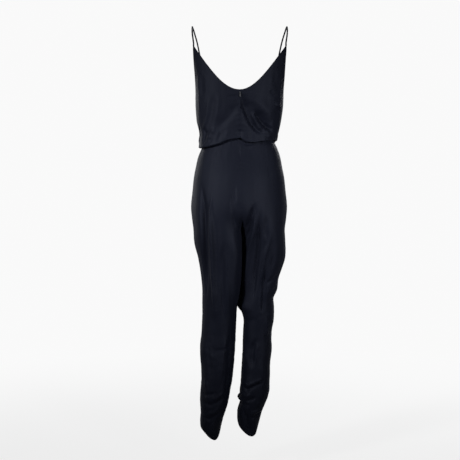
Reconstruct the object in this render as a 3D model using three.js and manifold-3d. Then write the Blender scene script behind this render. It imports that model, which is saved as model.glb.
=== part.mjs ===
// A strappy one-piece jumpsuit in its worn, hollow shape.
// Millimetres. +Z is up, the front faces -Y, the wearer's left is +X.
// The origin lies between the undersides of the two straps, where shoulders carry them.
import * as THREE from 'three';
import { mergeVertices } from 'three/addons/utils/BufferGeometryUtils.js';
import Module from 'manifold-3d';

// Driving sizes
const CLOTH = 1.2;
const SEAM_GAP = 0.3;
const EDGE = SEAM_GAP / 2;
const QUARTER = Math.PI / 2;
const COLUMNS = 11;
const TIP_COLUMN = 7;
const TIP_DEGREES = { back: [60, 63], front: [130, 127] };
const BODICE_ROUNDNESS = 2.35;
const HIP_ROUNDNESS = 2.15;
const LEG_ROUNDNESS = 2.25;
const WAIST_Z = -374;
const WAIST_GAP = 0.4;
const SIDE_TOP_Z = -240;
const BACK_NECK_Z = -222;
const FRONT_NECK_Z = -205;
const BACK_TIP_Z = -69;
const FRONT_TIP_Z = -118;
const NECK_CURVE = 2.1;
const CROTCH_START_Z = -628;
const CROTCH_Z = -690;
const SEAT_START_Z = -590;
const SEAT_END_Z = -775;
const SEAT_FULLNESS = 0.42;
const CROTCH_REACH = 3;
const ZIP_START_Z = -226;
const ZIP_END_Z = -512;
const HEM_START = 1240;
const HEM_END = 1400;
const HEM_CURVE = 1.5;
const FOLD_TAPER = 1.6;
const SIDE_FADE = 30;
const BLOUSE_FADE = 0.14;
const WAIST_PLAIN = 12;
const WAIST_FADE = 40;
const STRAP_RADIUS = 2.7;
const STRAP_SEAT = 0.4;
const STRAP_RISE = 9;
const TAPE_THICK = 0.9;
const TAPE_GAP = 0.75;
const TAPE_SHARE = 0.38;
const TAPE_BEND_Z = -356;
const TAPE_BEND = { in: 0.1, up: 6 };
const PULL_Z = -234;
const SLIDER_GAP = 0.4;
const NAVY = 0x1a1c26;
const NAVY_LEG = 0x1c1e29;
const ZIP_METAL = 0xa9abae;

// Torso sections: distance from x = 0 to the left and right outlines, depth to front and back,
// and how far the centre seam lies towards the wearer's right.
const TORSO = [
  { z: -40, left: 176, right: 176, front: 76, back: 72, lean: 0 },
  { z: -69, left: 175, right: 175, front: 84, back: 80, lean: 0 },
  { z: -118, left: 167, right: 166, front: 97, back: 91, lean: 0 },
  { z: -170, left: 158, right: 158, front: 112, back: 95, lean: 0 },
  { z: -222, left: 152, right: 151, front: 117, back: 96, lean: 0.5 },
  { z: -270, left: 151, right: 149, front: 113, back: 93, lean: 1 },
  { z: -320, left: 147, right: 142, front: 108, back: 90, lean: 2 },
  { z: -355, left: 139, right: 134, front: 106, back: 89, lean: 3 },
  { z: -385, left: 138, right: 127, front: 106, back: 91, lean: 3 },
  { z: -412, left: 141, right: 131, front: 107, back: 95, lean: 3 },
];

const HIPS = [
  { z: -374, left: 123, right: 116, front: 90, back: 77.5, lean: 3 },
  { z: -390, left: 125, right: 119, front: 91, back: 79.5, lean: 3 },
  { z: -410, left: 130, right: 129, front: 92, back: 84, lean: 3 },
  { z: -441, left: 142, right: 139, front: 93, back: 92, lean: 3 },
  { z: -476, left: 150, right: 146, front: 94, back: 103, lean: 3.5 },
  { z: -512, left: 157, right: 153, front: 96, back: 113, lean: 4 },
  { z: -560, left: 162, right: 158, front: 99, back: 122, lean: 4 },
  { z: -610, left: 167, right: 163, front: 101, back: 126, lean: 5 },
  { z: -650, left: 164, right: 160, front: 101, back: 124, lean: 7 },
  { z: -690, left: 159, right: 155, front: 99, back: 116, lean: 8 },
  { z: -720, left: 157, right: 156, front: 96, back: 112, lean: 8 },
];

// Leg sections: outer and inner outline on the wearer's left side (x) or right side (minus x),
// depth to front and back, where the side seam lies front to back, and how far the inner thigh
// slips back past the other one.
const LEFT_LEG = [
  { z: -628, outer: 166, inner: -5.85, front: 100, back: 124, seam: 0, slip: 0 },
  { z: -690, outer: 159, inner: -7.85, front: 94, back: 112, seam: 0, slip: 0 },
  { z: -706, outer: 158, inner: -8, front: 93, back: 109, seam: 0, slip: 7 },
  { z: -724, outer: 157, inner: -9, front: 92, back: 106, seam: 0, slip: 16 },
  { z: -751, outer: 152, inner: -9.5, front: 90, back: 101, seam: 0, slip: 20 },
  { z: -786, outer: 143, inner: -9, front: 88, back: 96, seam: 0, slip: 20 },
  { z: -820, outer: 137, inner: -8, front: 86, back: 91, seam: 0, slip: 20 },
  { z: -858, outer: 132, inner: -6, front: 84, back: 86, seam: 0, slip: 20 },
  { z: -895, outer: 129, inner: -2, front: 82, back: 81, seam: 0, slip: 20 },
  { z: -924, outer: 129, inner: 3, front: 80, back: 77, seam: -1, slip: 18 },
  { z: -958, outer: 129, inner: 9, front: 79, back: 73, seam: -2, slip: 10 },
  { z: -985, outer: 129, inner: 11, front: 79, back: 70, seam: -2, slip: 4 },
  { z: -1044, outer: 132, inner: 13, front: 77, back: 66, seam: -4, slip: 0 },
  { z: -1100, outer: 136, inner: 15.5, front: 71, back: 68, seam: -2, slip: 0 },
  { z: -1150, outer: 133, inner: 19, front: 65, back: 72, seam: 2, slip: 0 },
  { z: -1200, outer: 132, inner: 24, front: 61, back: 73, seam: 4, slip: 0 },
  { z: -1251, outer: 135, inner: 33, front: 58, back: 72, seam: 5, slip: 0 },
  { z: -1286, outer: 136, inner: 39, front: 56, back: 70, seam: 6, slip: 0 },
  { z: -1320, outer: 134, inner: 50, front: 54, back: 68, seam: 7, slip: 0 },
  { z: -1360, outer: 135, inner: 62, front: 54, back: 66, seam: 7, slip: 0 },
  { z: -1405, outer: 128, inner: 66, front: 54, back: 64, seam: 7, slip: 0 },
];

const RIGHT_LEG = [
  { z: -628, outer: 162, inner: 6.15, front: 100, back: 124, seam: 0, slip: 0 },
  { z: -690, outer: 155, inner: 8.15, front: 94, back: 112, seam: 0, slip: 0 },
  { z: -706, outer: 156, inner: 8.2, front: 93, back: 109, seam: 0, slip: -7 },
  { z: -724, outer: 157, inner: 7.5, front: 92, back: 106, seam: 0, slip: -16 },
  { z: -760, outer: 158, inner: 7, front: 90, back: 100, seam: 0, slip: -20 },
  { z: -790, outer: 156, inner: 6.5, front: 88, back: 95, seam: 0, slip: -20 },
  { z: -820, outer: 147, inner: 5.5, front: 87, back: 90, seam: 0, slip: -20 },
  { z: -858, outer: 134, inner: 4, front: 85, back: 84, seam: -1, slip: -20 },
  { z: -895, outer: 129, inner: 0.5, front: 84, back: 79, seam: -2, slip: -20 },
  { z: -924, outer: 117, inner: -2.5, front: 83, back: 75, seam: -3, slip: -18 },
  { z: -949, outer: 118, inner: -4, front: 83, back: 71, seam: -4, slip: -12 },
  { z: -976, outer: 119, inner: 8, front: 83, back: 67, seam: -6, slip: -4 },
  { z: -1010, outer: 118, inner: 12, front: 83, back: 62, seam: -9, slip: 0 },
  { z: -1044, outer: 111, inner: 12, front: 83, back: 58, seam: -12, slip: 0 },
  { z: -1100, outer: 111, inner: 10, front: 80, back: 57, seam: -12, slip: 0 },
  { z: -1150, outer: 106, inner: 8, front: 75, back: 60, seam: -9, slip: 0 },
  { z: -1200, outer: 105, inner: 5, front: 71, back: 61, seam: -6, slip: 0 },
  { z: -1251, outer: 102, inner: 0, front: 68, back: 60, seam: -4, slip: 0 },
  { z: -1286, outer: 91, inner: 1, front: 66, back: 57, seam: -5, slip: 0 },
  { z: -1320, outer: 77, inner: -9, front: 65, back: 54, seam: -6, slip: 0 },
  { z: -1360, outer: 67, inner: -6, front: 64, back: 52, seam: -6, slip: 0 },
  { z: -1400, outer: 64, inner: 6, front: 63, back: 51, seam: -6, slip: 0 },
];

// Slanted hems: height at the outer seam, back, inseam and front
const HEMS = {
  left: { outer: -1368, back: -1404, inseam: -1367, front: -1342 },
  right: { outer: -1340, back: -1394, inseam: -1360, front: -1326 },
};

// Lower edge of the blouse by angle from the centre back (degrees), and half the width of its fold
const BLOUSE_LEFT = [
  { angle: 0, z: -383, half: 2.2 },
  { angle: 14, z: -389, half: 2.6 },
  { angle: 28, z: -402, half: 3.4 },
  { angle: 50, z: -411, half: 4 },
  { angle: 75, z: -413, half: 4 },
  { angle: 90, z: -410, half: 3.8 },
  { angle: 120, z: -402, half: 3.8 },
  { angle: 150, z: -406, half: 4 },
  { angle: 180, z: -400, half: 3.6 },
];

const BLOUSE_RIGHT = [
  { angle: 0, z: -383, half: 2.2 },
  { angle: 12, z: -390, half: 2.4 },
  { angle: 30, z: -390, half: 2.4 },
  { angle: 60, z: -388, half: 2.3 },
  { angle: 90, z: -388, half: 2.2 },
  { angle: 120, z: -396, half: 3 },
  { angle: 150, z: -407, half: 4 },
  { angle: 180, z: -400, half: 3.6 },
];

// Largest folds on the back: a line from (x1, z1) to (x2, z2), half width, and height
// out of the cloth (plus is a ridge, minus a trough).
const BACK_FOLDS = [
  { x1: -22, z1: -284, x2: -40, z2: -322, wide: 10, high: -5 },
  { x1: -40, z1: -322, x2: -82, z2: -362, wide: 11, high: -4 },
  { x1: 24, z1: -286, x2: 60, z2: -345, wide: 12, high: -4 },
  { x1: -38, z1: -246, x2: -96, z2: -330, wide: 17, high: 4 },
  { x1: 88, z1: -335, x2: 112, z2: -398, wide: 10, high: 4 },
  { x1: 126, z1: -545, x2: 112, z2: -930, wide: 13, high: -4.5 },
  { x1: 96, z1: -590, x2: 90, z2: -880, wide: 12, high: 3.5 },
  { x1: -54, z1: -615, x2: -30, z2: -735, wide: 13, high: -5 },
  { x1: -74, z1: -640, x2: -48, z2: -935, wide: 10, high: -5 },
  { x1: -58, z1: -655, x2: -22, z2: -925, wide: 11, high: 4 },
  { x1: -104, z1: -735, x2: -80, z2: -830, wide: 12, high: 4 },
  { x1: 84, z1: -870, x2: 84, z2: -1000, wide: 12, high: 3.5 },
  { x1: -60, z1: -1078, x2: -38, z2: -1160, wide: 10, high: -4 },
  { x1: -26, z1: -1248, x2: -78, z2: -1226, wide: 9, high: -4 },
];

const FRONT_FOLDS = [
  { x1: 40, z1: -252, x2: 66, z2: -372, wide: 13, high: -4 },
  { x1: -36, z1: -262, x2: -78, z2: -360, wide: 14, high: -4.5 },
  { x1: 4, z1: -290, x2: -10, z2: -380, wide: 14, high: 4 },
  { x1: 70, z1: -560, x2: 24, z2: -672, wide: 12, high: -4.5 },
  { x1: -82, z1: -575, x2: -30, z2: -678, wide: 12, high: -4 },
  { x1: 84, z1: -700, x2: 78, z2: -960, wide: 13, high: 4 },
  { x1: -88, z1: -720, x2: -72, z2: -950, wide: 13, high: 4 },
  { x1: 44, z1: -1050, x2: 108, z2: -1092, wide: 11, high: -4 },
  { x1: -34, z1: -1062, x2: -92, z2: -1094, wide: 11, high: -4 },
  { x1: 76, z1: -1270, x2: 118, z2: -1292, wide: 10, high: -4 },
  { x1: -10, z1: -1262, x2: -62, z2: -1288, wide: 10, high: -4 },
];

// Reading the tables

function clamp(value, low, high) {
  return Math.min(high, Math.max(low, value));
}

function mix(a, b, share) {
  return a + (b - a) * share;
}

function smooth(value) {
  const t = clamp(value, 0, 1);
  return t * t * (3 - 2 * t);
}

function columnSlope(table, key, column, k) {
  const before = table[Math.max(0, k - 1)];
  const after = table[Math.min(table.length - 1, k + 1)];
  return (after[column] - before[column]) / (after[key] - before[key]);
}

// Smooth curve through one named column; rows may run up or down in their key
function readColumn(table, key, column, at) {
  const direction = Math.sign(table[1][key] - table[0][key]);
  let k = 0;
  while (k < table.length - 2 && (at - table[k + 1][key]) * direction > 0) {
    k += 1;
  }
  const low = table[k];
  const high = table[k + 1];
  const span = high[key] - low[key];
  const t = clamp((at - low[key]) / span, 0, 1);
  const slopeLow = columnSlope(table, key, column, k) * span;
  const slopeHigh = columnSlope(table, key, column, k + 1) * span;
  const t2 = t * t;
  const t3 = t2 * t;
  return (2 * t3 - 3 * t2 + 1) * low[column] + (t3 - 2 * t2 + t) * slopeLow
    + (3 * t2 - 2 * t3) * high[column] + (t3 - t2) * slopeHigh;
}

function readRow(table, key, at) {
  const row = {};
  for (const column of Object.keys(table[0])) {
    row[column] = column === key ? at : readColumn(table, key, column, at);
  }
  return row;
}

// Shapes of one section

// Cosine or sine bent towards a box; 2 is an ellipse
function bend(value, roundness) {
  return Math.sign(value) * Math.abs(value) ** (2 / roundness);
}

// side is 1 on the wearer's left and -1 on the right; turn runs from 0 at the centre back
// past a quarter turn at the side seam to a half turn at the centre front.
function torsoPoint(row, side, turn, roundness, grow = 0, gap = EDGE) {
  const half = (side > 0 ? row.left + row.lean : row.right - row.lean) + grow - gap;
  const across = bend(Math.sin(turn), roundness);
  const along = bend(Math.cos(turn), roundness);
  const depth = along > 0 ? row.back + grow : row.front + grow;
  return new THREE.Vector3(side * (gap + half * across) - row.lean, depth * along, row.z);
}

// turn runs from 0 at the side seam past a quarter turn at the back to a half turn at the
// inseam; minus turns run over the front.
function legPoint(row, side, turn) {
  const middle = (row.outer + row.inner) / 2;
  const half = (row.outer - row.inner) / 2;
  const across = bend(Math.cos(turn), LEG_ROUNDNESS);
  const along = bend(Math.sin(turn), LEG_ROUNDNESS);
  const depth = along > 0 ? row.back - row.seam : row.front + row.seam;
  const slip = row.slip * ((1 - across) / 2) ** 2;
  const y = row.seam + slip + depth * along;
  return new THREE.Vector3(side * (middle + half * across), y, row.z);
}

function foldHeight(folds, x, z) {
  let height = 0;
  for (const fold of folds) {
    const dx = fold.x2 - fold.x1;
    const dz = fold.z2 - fold.z1;
    const length = Math.hypot(dx, dz);
    const along = ((x - fold.x1) * dx + (z - fold.z1) * dz) / length;
    const across = ((x - fold.x1) * dz - (z - fold.z1) * dx) / length;
    const past = Math.max(0, -along, along - length) / (FOLD_TAPER * fold.wide);
    height += fold.high * Math.exp(-((across / fold.wide) ** 2) - past ** 2);
  }
  return height;
}

// Folds fade out at the side seams, and by the given share near a panel's other seams
function foldAt(point, seamY, fade) {
  const folds = point.y > seamY ? BACK_FOLDS : FRONT_FOLDS;
  const fromSide = smooth(Math.abs(point.y - seamY) / SIDE_FADE);
  return foldHeight(folds, point.x, point.z) * fromSide * fade;
}

// Surfaces. Each gives the point for a column share u (0 to 1) and a row value v.

function normalAt(panel, u, v) {
  const { stepU, stepV } = panel;
  const [first, last] = panel.span;
  const across = panel.surface(Math.min(1, u + stepU), v);
  across.sub(panel.surface(Math.max(0, u - stepU), v));
  const down = panel.surface(u, Math.min(last, v + stepV));
  down.sub(panel.surface(u, Math.max(first, v - stepV)));
  const normal = across.cross(down).normalize();
  return panel.flip ? normal.negate() : normal;
}

// Outer points with their folds, and inner points one cloth thickness further in
function wallPoints(panel) {
  const outer = [];
  const inner = [];
  for (const u of panel.columns) {
    const outerLine = [];
    const innerLine = [];
    for (const v of panel.rows) {
      const normal = normalAt(panel, u, v);
      const point = panel.surface(u, v);
      const lifted = point.clone().addScaledVector(normal, panel.fold(point, v));
      outerLine.push(lifted);
      innerLine.push(lifted.clone().addScaledVector(normal, -CLOTH));
    }
    outer.push(outerLine);
    inner.push(innerLine);
  }
  return { outer, inner, flip: panel.flip };
}

// One closed wall: outer face, inner face and the four rims
function wallGeometry({ outer, inner, flip }) {
  const columns = outer.length;
  const rows = outer[0].length;
  const vertices = [...outer, ...inner].flat().flatMap((point) => point.toArray());
  const outerAt = (i, j) => i * rows + j;
  const innerAt = (i, j) => (columns + i) * rows + j;
  const faces = [];
  const quad = (a, b, c, d) => {
    faces.push(...(flip ? [a, c, b, a, d, c] : [a, b, c, a, c, d]));
  };
  const lastRow = rows - 1;
  const lastColumn = columns - 1;
  for (let i = 0; i < lastColumn; i += 1) {
    for (let j = 0; j < lastRow; j += 1) {
      quad(outerAt(i, j), outerAt(i + 1, j), outerAt(i + 1, j + 1), outerAt(i, j + 1));
      quad(innerAt(i, j), innerAt(i, j + 1), innerAt(i + 1, j + 1), innerAt(i + 1, j));
    }
    quad(outerAt(i + 1, 0), outerAt(i, 0), innerAt(i, 0), innerAt(i + 1, 0));
    quad(outerAt(i, lastRow), outerAt(i + 1, lastRow), innerAt(i + 1, lastRow), innerAt(i, lastRow));
  }
  for (let j = 0; j < lastRow; j += 1) {
    quad(outerAt(0, j), outerAt(0, j + 1), innerAt(0, j + 1), innerAt(0, j));
    quad(
      outerAt(lastColumn, j + 1), outerAt(lastColumn, j),
      innerAt(lastColumn, j), innerAt(lastColumn, j + 1),
    );
  }
  const geometry = new THREE.BufferGeometry();
  geometry.setAttribute('position', new THREE.Float32BufferAttribute(vertices, 3));
  geometry.setIndex(faces);
  geometry.computeVertexNormals();
  return geometry;
}

function evenShares(count) {
  return Array.from({ length: count + 1 }, (_, k) => k / count);
}

// Bodice. Row value 0 to 1 runs from the top edge to the blouse's fold, 1 to 2 round the
// fold, and 2 to 3 back up inside it to the waist seam.

const BODICE_ROWS = [...evenShares(12), 1.25, 1.5, 1.75, 2, 2.5, 3];

// Top edge for a column counted from the centre: a soft V up to the strap tip, whose flat end
// is one column wide, then the armhole down to the side seam.
function topEdge(part, column) {
  const back = part === 'back';
  const [tipInner, tipOuter] = TIP_DEGREES[part].map(THREE.MathUtils.degToRad);
  const centreTurn = back ? 0 : Math.PI;
  const neckZ = back ? BACK_NECK_Z : FRONT_NECK_Z;
  const tipZ = back ? BACK_TIP_Z : FRONT_TIP_Z;
  if (column <= TIP_COLUMN) {
    const turn = mix(centreTurn, tipInner, column / TIP_COLUMN);
    const reach = bend(Math.sin(turn), BODICE_ROUNDNESS) / bend(Math.sin(tipInner), BODICE_ROUNDNESS);
    return { turn, z: mix(neckZ, tipZ, reach ** NECK_CURVE) };
  }
  const past = column - TIP_COLUMN;
  if (past <= 1) {
    return { turn: mix(tipInner, tipOuter, past), z: tipZ };
  }
  const share = (past - 1) / (COLUMNS - TIP_COLUMN - 1);
  return {
    turn: mix(tipOuter, QUARTER, share),
    z: mix(tipZ, SIDE_TOP_Z, Math.sin(share * QUARTER)),
  };
}

// The rolled lower fold at one angle: the height of its top and half its width
function blouseFold(side, turn) {
  const table = side > 0 ? BLOUSE_LEFT : BLOUSE_RIGHT;
  const row = readRow(table, 'angle', THREE.MathUtils.radToDeg(turn));
  return { z: row.z + row.half, half: row.half };
}

function bodicePoint(part, side, column, v) {
  const back = part === 'back';
  const top = topEdge(part, column);
  const lowTurn = back ? (QUARTER * column) / COLUMNS : Math.PI - (QUARTER * column) / COLUMNS;
  const gap = back ? EDGE : 0;
  const blouse = blouseFold(side, lowTurn);
  let point;
  if (v <= 1) {
    const row = readRow(TORSO, 'z', mix(top.z, blouse.z, v));
    point = torsoPoint(row, side, mix(top.turn, lowTurn, smooth(v)), BODICE_ROUNDNESS, 0, gap);
  } else {
    const swing = Math.min(1, v - 1) * Math.PI;
    const inset = -blouse.half * (1 - Math.cos(swing));
    const row = readRow(TORSO, 'z', blouse.z);
    point = torsoPoint(row, side, lowTurn, BODICE_ROUNDNESS, inset, gap);
    point.z -= blouse.half * Math.sin(swing);
  }
  if (v > 2) {
    const waist = readRow(HIPS, 'z', WAIST_Z);
    point.lerp(torsoPoint(waist, side, lowTurn, HIP_ROUNDNESS, WAIST_GAP, gap), v - 2);
  }
  point.y += back ? EDGE : -EDGE;
  return point;
}

function bodiceFold(point, v) {
  return foldAt(point, 0, smooth((1 - v) / BLOUSE_FADE));
}

function bodiceBack(side) {
  return {
    surface: (u, v) => bodicePoint('back', side, u * COLUMNS, v),
    fold: bodiceFold,
    columns: evenShares(COLUMNS),
    rows: BODICE_ROWS,
    span: [0, 3],
    stepU: 1e-3,
    stepV: 1e-3,
    flip: side < 0,
  };
}

function bodiceFront() {
  const surface = (u, v) => {
    const side = u < 0.5 ? 1 : -1;
    return bodicePoint('front', side, Math.abs(1 - 2 * u) * COLUMNS, v);
  };
  return {
    surface,
    fold: bodiceFold,
    columns: evenShares(2 * COLUMNS),
    rows: BODICE_ROWS,
    span: [0, 3],
    stepU: 1e-3,
    stepV: 1e-3,
    flip: false,
  };
}

// Trousers. The row value is the depth below the origin on the outer seam; the rows slant
// towards the hem at the bottom.

const TROUSER_ROWS = [
  374, 386, 400, 418, 440, 470, 505, 540, 580, 612, 628,
  ...[18, 36, 52, 66, 78, 90].map((degrees) => -CROTCH_START_Z
    + (CROTCH_START_Z - CROTCH_Z) * Math.sin(THREE.MathUtils.degToRad(degrees))),
  706, 728, 758, 792, 826, 860, 892, 920, 945, 968, 995, 1025, 1060, 1095, 1130, 1165,
  1200, 1235, 1265, 1295, 1325, 1350, 1375, 1400,
];

function hemZ(side, turn) {
  const hem = side > 0 ? HEMS.left : HEMS.right;
  const along = Math.cos(turn);
  const across = Math.sin(turn);
  const seams = mix(hem.inseam, hem.outer, (along + 1) / 2);
  const facing = across > 0 ? hem.back : hem.front;
  return mix(seams, facing, Math.abs(across) ** HEM_CURVE);
}

// How far a point has turned from the hip section into its leg's own section. The centre
// seam follows a round crotch curve; the rest of the seat changes over a longer way.
function legShare(u, z) {
  const drop = clamp((CROTCH_START_Z - z) / (CROTCH_START_Z - CROTCH_Z), 0, 1);
  const crotch = 1 - Math.sqrt(1 - drop * drop);
  const seat = smooth((SEAT_START_Z - z) / (SEAT_START_Z - SEAT_END_Z));
  return mix(seat, crotch, u ** CROTCH_REACH);
}

function trouserPoint(part, side, u, v) {
  const back = part === 'back';
  const legTurn = (back ? 1 : -1) * Math.PI * u;
  const slant = Math.max(0, v - HEM_START) / (HEM_END - HEM_START);
  const z = v > HEM_START ? mix(-HEM_START, hemZ(side, legTurn), slant) : -v;
  const legRow = readRow(side > 0 ? LEFT_LEG : RIGHT_LEG, 'z', Math.min(z, CROTCH_START_Z));
  const point = legPoint(legRow, side, legTurn);
  if (z > SEAT_END_Z) {
    const torsoTurn = back ? QUARTER * (1 - u) : Math.PI - QUARTER * (1 - u);
    const hip = torsoPoint(readRow(HIPS, 'z', z), side, torsoTurn, HIP_ROUNDNESS);
    const share = legShare(u, z);
    point.lerpVectors(hip, point, share);
    point.y *= 1 + SEAT_FULLNESS * share * (1 - share);
  }
  point.z = z;
  point.y += back ? EDGE : -EDGE;
  return point;
}

function trouserPanel(part, side) {
  const fold = (point, v) => {
    const leg = readRow(side > 0 ? LEFT_LEG : RIGHT_LEG, 'z', Math.min(point.z, CROTCH_START_Z));
    return foldAt(point, leg.seam, smooth((v + WAIST_Z - WAIST_PLAIN) / WAIST_FADE));
  };
  return {
    surface: (u, v) => trouserPoint(part, side, u, v),
    fold,
    columns: evenShares(COLUMNS),
    rows: TROUSER_ROWS,
    span: [-WAIST_Z, HEM_END],
    stepU: 1e-3,
    stepV: 0.2,
    flip: (side > 0) === (part === 'back'),
  };
}

// Straps: round rolled cords from the back tips over the shoulders to the front tips

const STRAP_ROUTE = [
  { x: 160, y: 50, z: -28 },
  { x: 161, y: 27, z: -4 },
  { x: 161, y: 0, z: STRAP_RADIUS },
  { x: 157, y: -30, z: -8 },
  { x: 147, y: -60, z: -42 },
];

function tipMiddle(wall, columns) {
  const middle = new THREE.Vector3();
  for (const column of columns) {
    middle.add(wall.outer[column][0]).add(wall.inner[column][0]);
  }
  return middle.divideScalar(2 * columns.length);
}

function strapGeometry(backTip, frontTip, side) {
  const seat = new THREE.Vector3(0, 0, STRAP_SEAT);
  const rise = new THREE.Vector3(0, 0, STRAP_RISE);
  const start = backTip.clone().add(seat);
  const end = frontTip.clone().add(seat);
  const over = STRAP_ROUTE.map((spot) => new THREE.Vector3(side * spot.x, spot.y, spot.z));
  const curve = new THREE.CatmullRomCurve3(
    [start, start.clone().add(rise), ...over, end.clone().add(rise), end],
    false, 'centripetal',
  );
  const section = new THREE.Shape();
  section.absarc(0, 0, STRAP_RADIUS, 0, 2 * Math.PI);
  return new THREE.ExtrudeGeometry(section, { steps: 26, curveSegments: 5, extrudePath: curve });
}

// Zip tapes: a narrow strip just inside each back piece, along the centre seam

function seamPlaces(wall, first, second, keep) {
  const places = [];
  for (let j = 0; j < wall.inner[0].length; j += 1) {
    const seam = wall.inner[first][j];
    if (keep(seam.z, j)) {
      places.push({ seam, side: seam.clone().lerp(wall.inner[second][j], TAPE_SHARE) });
    }
  }
  return places;
}

function tapeWall(places, side) {
  const lines = [places.map((place) => place.seam), places.map((place) => place.side)];
  const movedIn = (depth) => lines.map((line) => line.map((point) => new THREE.Vector3(
    point.x, point.y - depth, point.z,
  )));
  return { outer: movedIn(TAPE_GAP), inner: movedIn(TAPE_GAP + TAPE_THICK), flip: side < 0 };
}

function zipPlaces(bodice, trousers) {
  const lastMain = BODICE_ROWS.indexOf(1);
  const upper = seamPlaces(
    bodice, 0, 1, (z, j) => j <= lastMain && z < ZIP_START_Z && z > TAPE_BEND_Z,
  );
  const lower = seamPlaces(trousers, COLUMNS, COLUMNS - 1, (z) => z > ZIP_END_Z);
  const aboveWaist = new THREE.Vector3(0, -TAPE_BEND.in, TAPE_BEND.up);
  const turn = {
    seam: lower[0].seam.clone().add(aboveWaist),
    side: lower[0].side.clone().add(aboveWaist),
  };
  return [...upper, turn, ...lower];
}

// Zip slider and pull tab. Both are drawn about the pull's hinge line, which runs along X.

const SLIDER = { wide: 5, half: 4.5, back: -3.4, front: -1.6, corner: 0.6, taper: 1 };
const LOOP = { wide: 1, inHalf: 1.5, outHalf: 2.6, inTop: 1.3, outTop: 2.3, corner: 0.9 };
const PULL = { thick: 1, bar: 0.5, holeHalf: 0.95, holeLow: 4.2, topHalf: 1.9, lowHalf: 2.2, low: 12.5 };

// A profile in the YZ plane, extruded along X and centred on x = 0
function sideExtrusion(outline, width) {
  const shape = new THREE.Shape(outline.map(([y, z]) => new THREE.Vector2(y, z)));
  const geometry = new THREE.ExtrudeGeometry(shape, { depth: width, bevelEnabled: false });
  geometry.translate(0, 0, -width / 2);
  return geometry.applyMatrix4(new THREE.Matrix4().makeBasis(
    new THREE.Vector3(0, 1, 0), new THREE.Vector3(0, 0, 1), new THREE.Vector3(1, 0, 0),
  ));
}

const wasm = await Module();
wasm.setup();

function toSolid(geometry) {
  const bare = geometry.clone();
  bare.deleteAttribute('normal');
  bare.deleteAttribute('uv');
  const merged = mergeVertices(bare, 1e-4);
  return new wasm.Manifold(new wasm.Mesh({
    numProp: 3,
    vertProperties: new Float32Array(merged.attributes.position.array),
    triVerts: new Uint32Array(merged.index.array),
  }));
}

function toGeometry(solid) {
  const mesh = solid.getMesh();
  const geometry = new THREE.BufferGeometry();
  geometry.setAttribute('position', new THREE.BufferAttribute(mesh.vertProperties, 3));
  geometry.setIndex(new THREE.BufferAttribute(mesh.triVerts, 1));
  geometry.computeVertexNormals();
  return geometry;
}

function sliderGeometry() {
  const { half, back, front, corner, taper } = SLIDER;
  const body = toSolid(sideExtrusion([
    [back, -half + taper], [back + corner, -half], [front, -half + corner], [front, half - corner],
    [back + corner, half], [back, half - taper],
  ], SLIDER.wide));
  const { inHalf, outHalf, inTop, outTop } = LOOP;
  const root = front - corner;
  const cornerTop = outTop - LOOP.corner;
  const cornerSide = outHalf - LOOP.corner;
  const loop = toSolid(sideExtrusion([
    [root, -outHalf], [cornerTop, -outHalf], [outTop, -cornerSide], [outTop, cornerSide],
    [cornerTop, outHalf], [root, outHalf], [root, inHalf], [inTop, inHalf], [inTop, -inHalf],
    [root, -inHalf],
  ], LOOP.wide));
  return toGeometry(body.add(loop));
}

function pullGeometry() {
  const shape = new THREE.Shape();
  shape.moveTo(-PULL.topHalf, PULL.bar);
  shape.lineTo(-PULL.lowHalf, -PULL.low + PULL.lowHalf);
  shape.absarc(0, -PULL.low + PULL.lowHalf, PULL.lowHalf, Math.PI, 2 * Math.PI);
  shape.lineTo(PULL.topHalf, PULL.bar);
  const hole = new THREE.Path();
  hole.moveTo(-PULL.holeHalf, -PULL.bar);
  hole.lineTo(PULL.holeHalf, -PULL.bar);
  hole.lineTo(PULL.holeHalf, -PULL.holeLow);
  hole.lineTo(-PULL.holeHalf, -PULL.holeLow);
  shape.holes.push(hole);
  const geometry = new THREE.ExtrudeGeometry(
    shape, { depth: PULL.thick, bevelEnabled: false, curveSegments: 10 },
  );
  geometry.translate(0, 0, -PULL.thick / 2);
  return geometry.rotateX(Math.PI / 2);
}

// Assembly

function cloth(color) {
  return new THREE.MeshStandardMaterial({ color, roughness: 0.62, metalness: 0 });
}

const jumpsuit = new THREE.Group();

function addPiece(name, geometry, material) {
  const mesh = new THREE.Mesh(geometry, material);
  mesh.name = name;
  jumpsuit.add(mesh);
  return mesh;
}

const frontWall = wallPoints(bodiceFront());
addPiece('bodice_front', wallGeometry(frontWall), cloth(NAVY));

for (const [name, side] of [['left', 1], ['right', -1]]) {
  const backWall = wallPoints(bodiceBack(side));
  addPiece(`bodice_back_${name}`, wallGeometry(backWall), cloth(NAVY));
  const trouserBack = wallPoints(trouserPanel('back', side));
  addPiece(`trouser_back_${name}`, wallGeometry(trouserBack), cloth(NAVY_LEG));
  const trouserFront = wallPoints(trouserPanel('front', side));
  addPiece(`trouser_front_${name}`, wallGeometry(trouserFront), cloth(NAVY_LEG));
  const tipColumns = [TIP_COLUMN, TIP_COLUMN + 1];
  const backTip = tipMiddle(backWall, tipColumns);
  const frontTip = tipMiddle(frontWall, tipColumns.map((column) => COLUMNS - side * column));
  addPiece(`strap_${name}`, strapGeometry(backTip, frontTip, side), cloth(NAVY));
  const places = zipPlaces(backWall, trouserBack);
  addPiece(`zip_tape_${name}`, wallGeometry(tapeWall(places, side)), cloth(NAVY));
}

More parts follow.
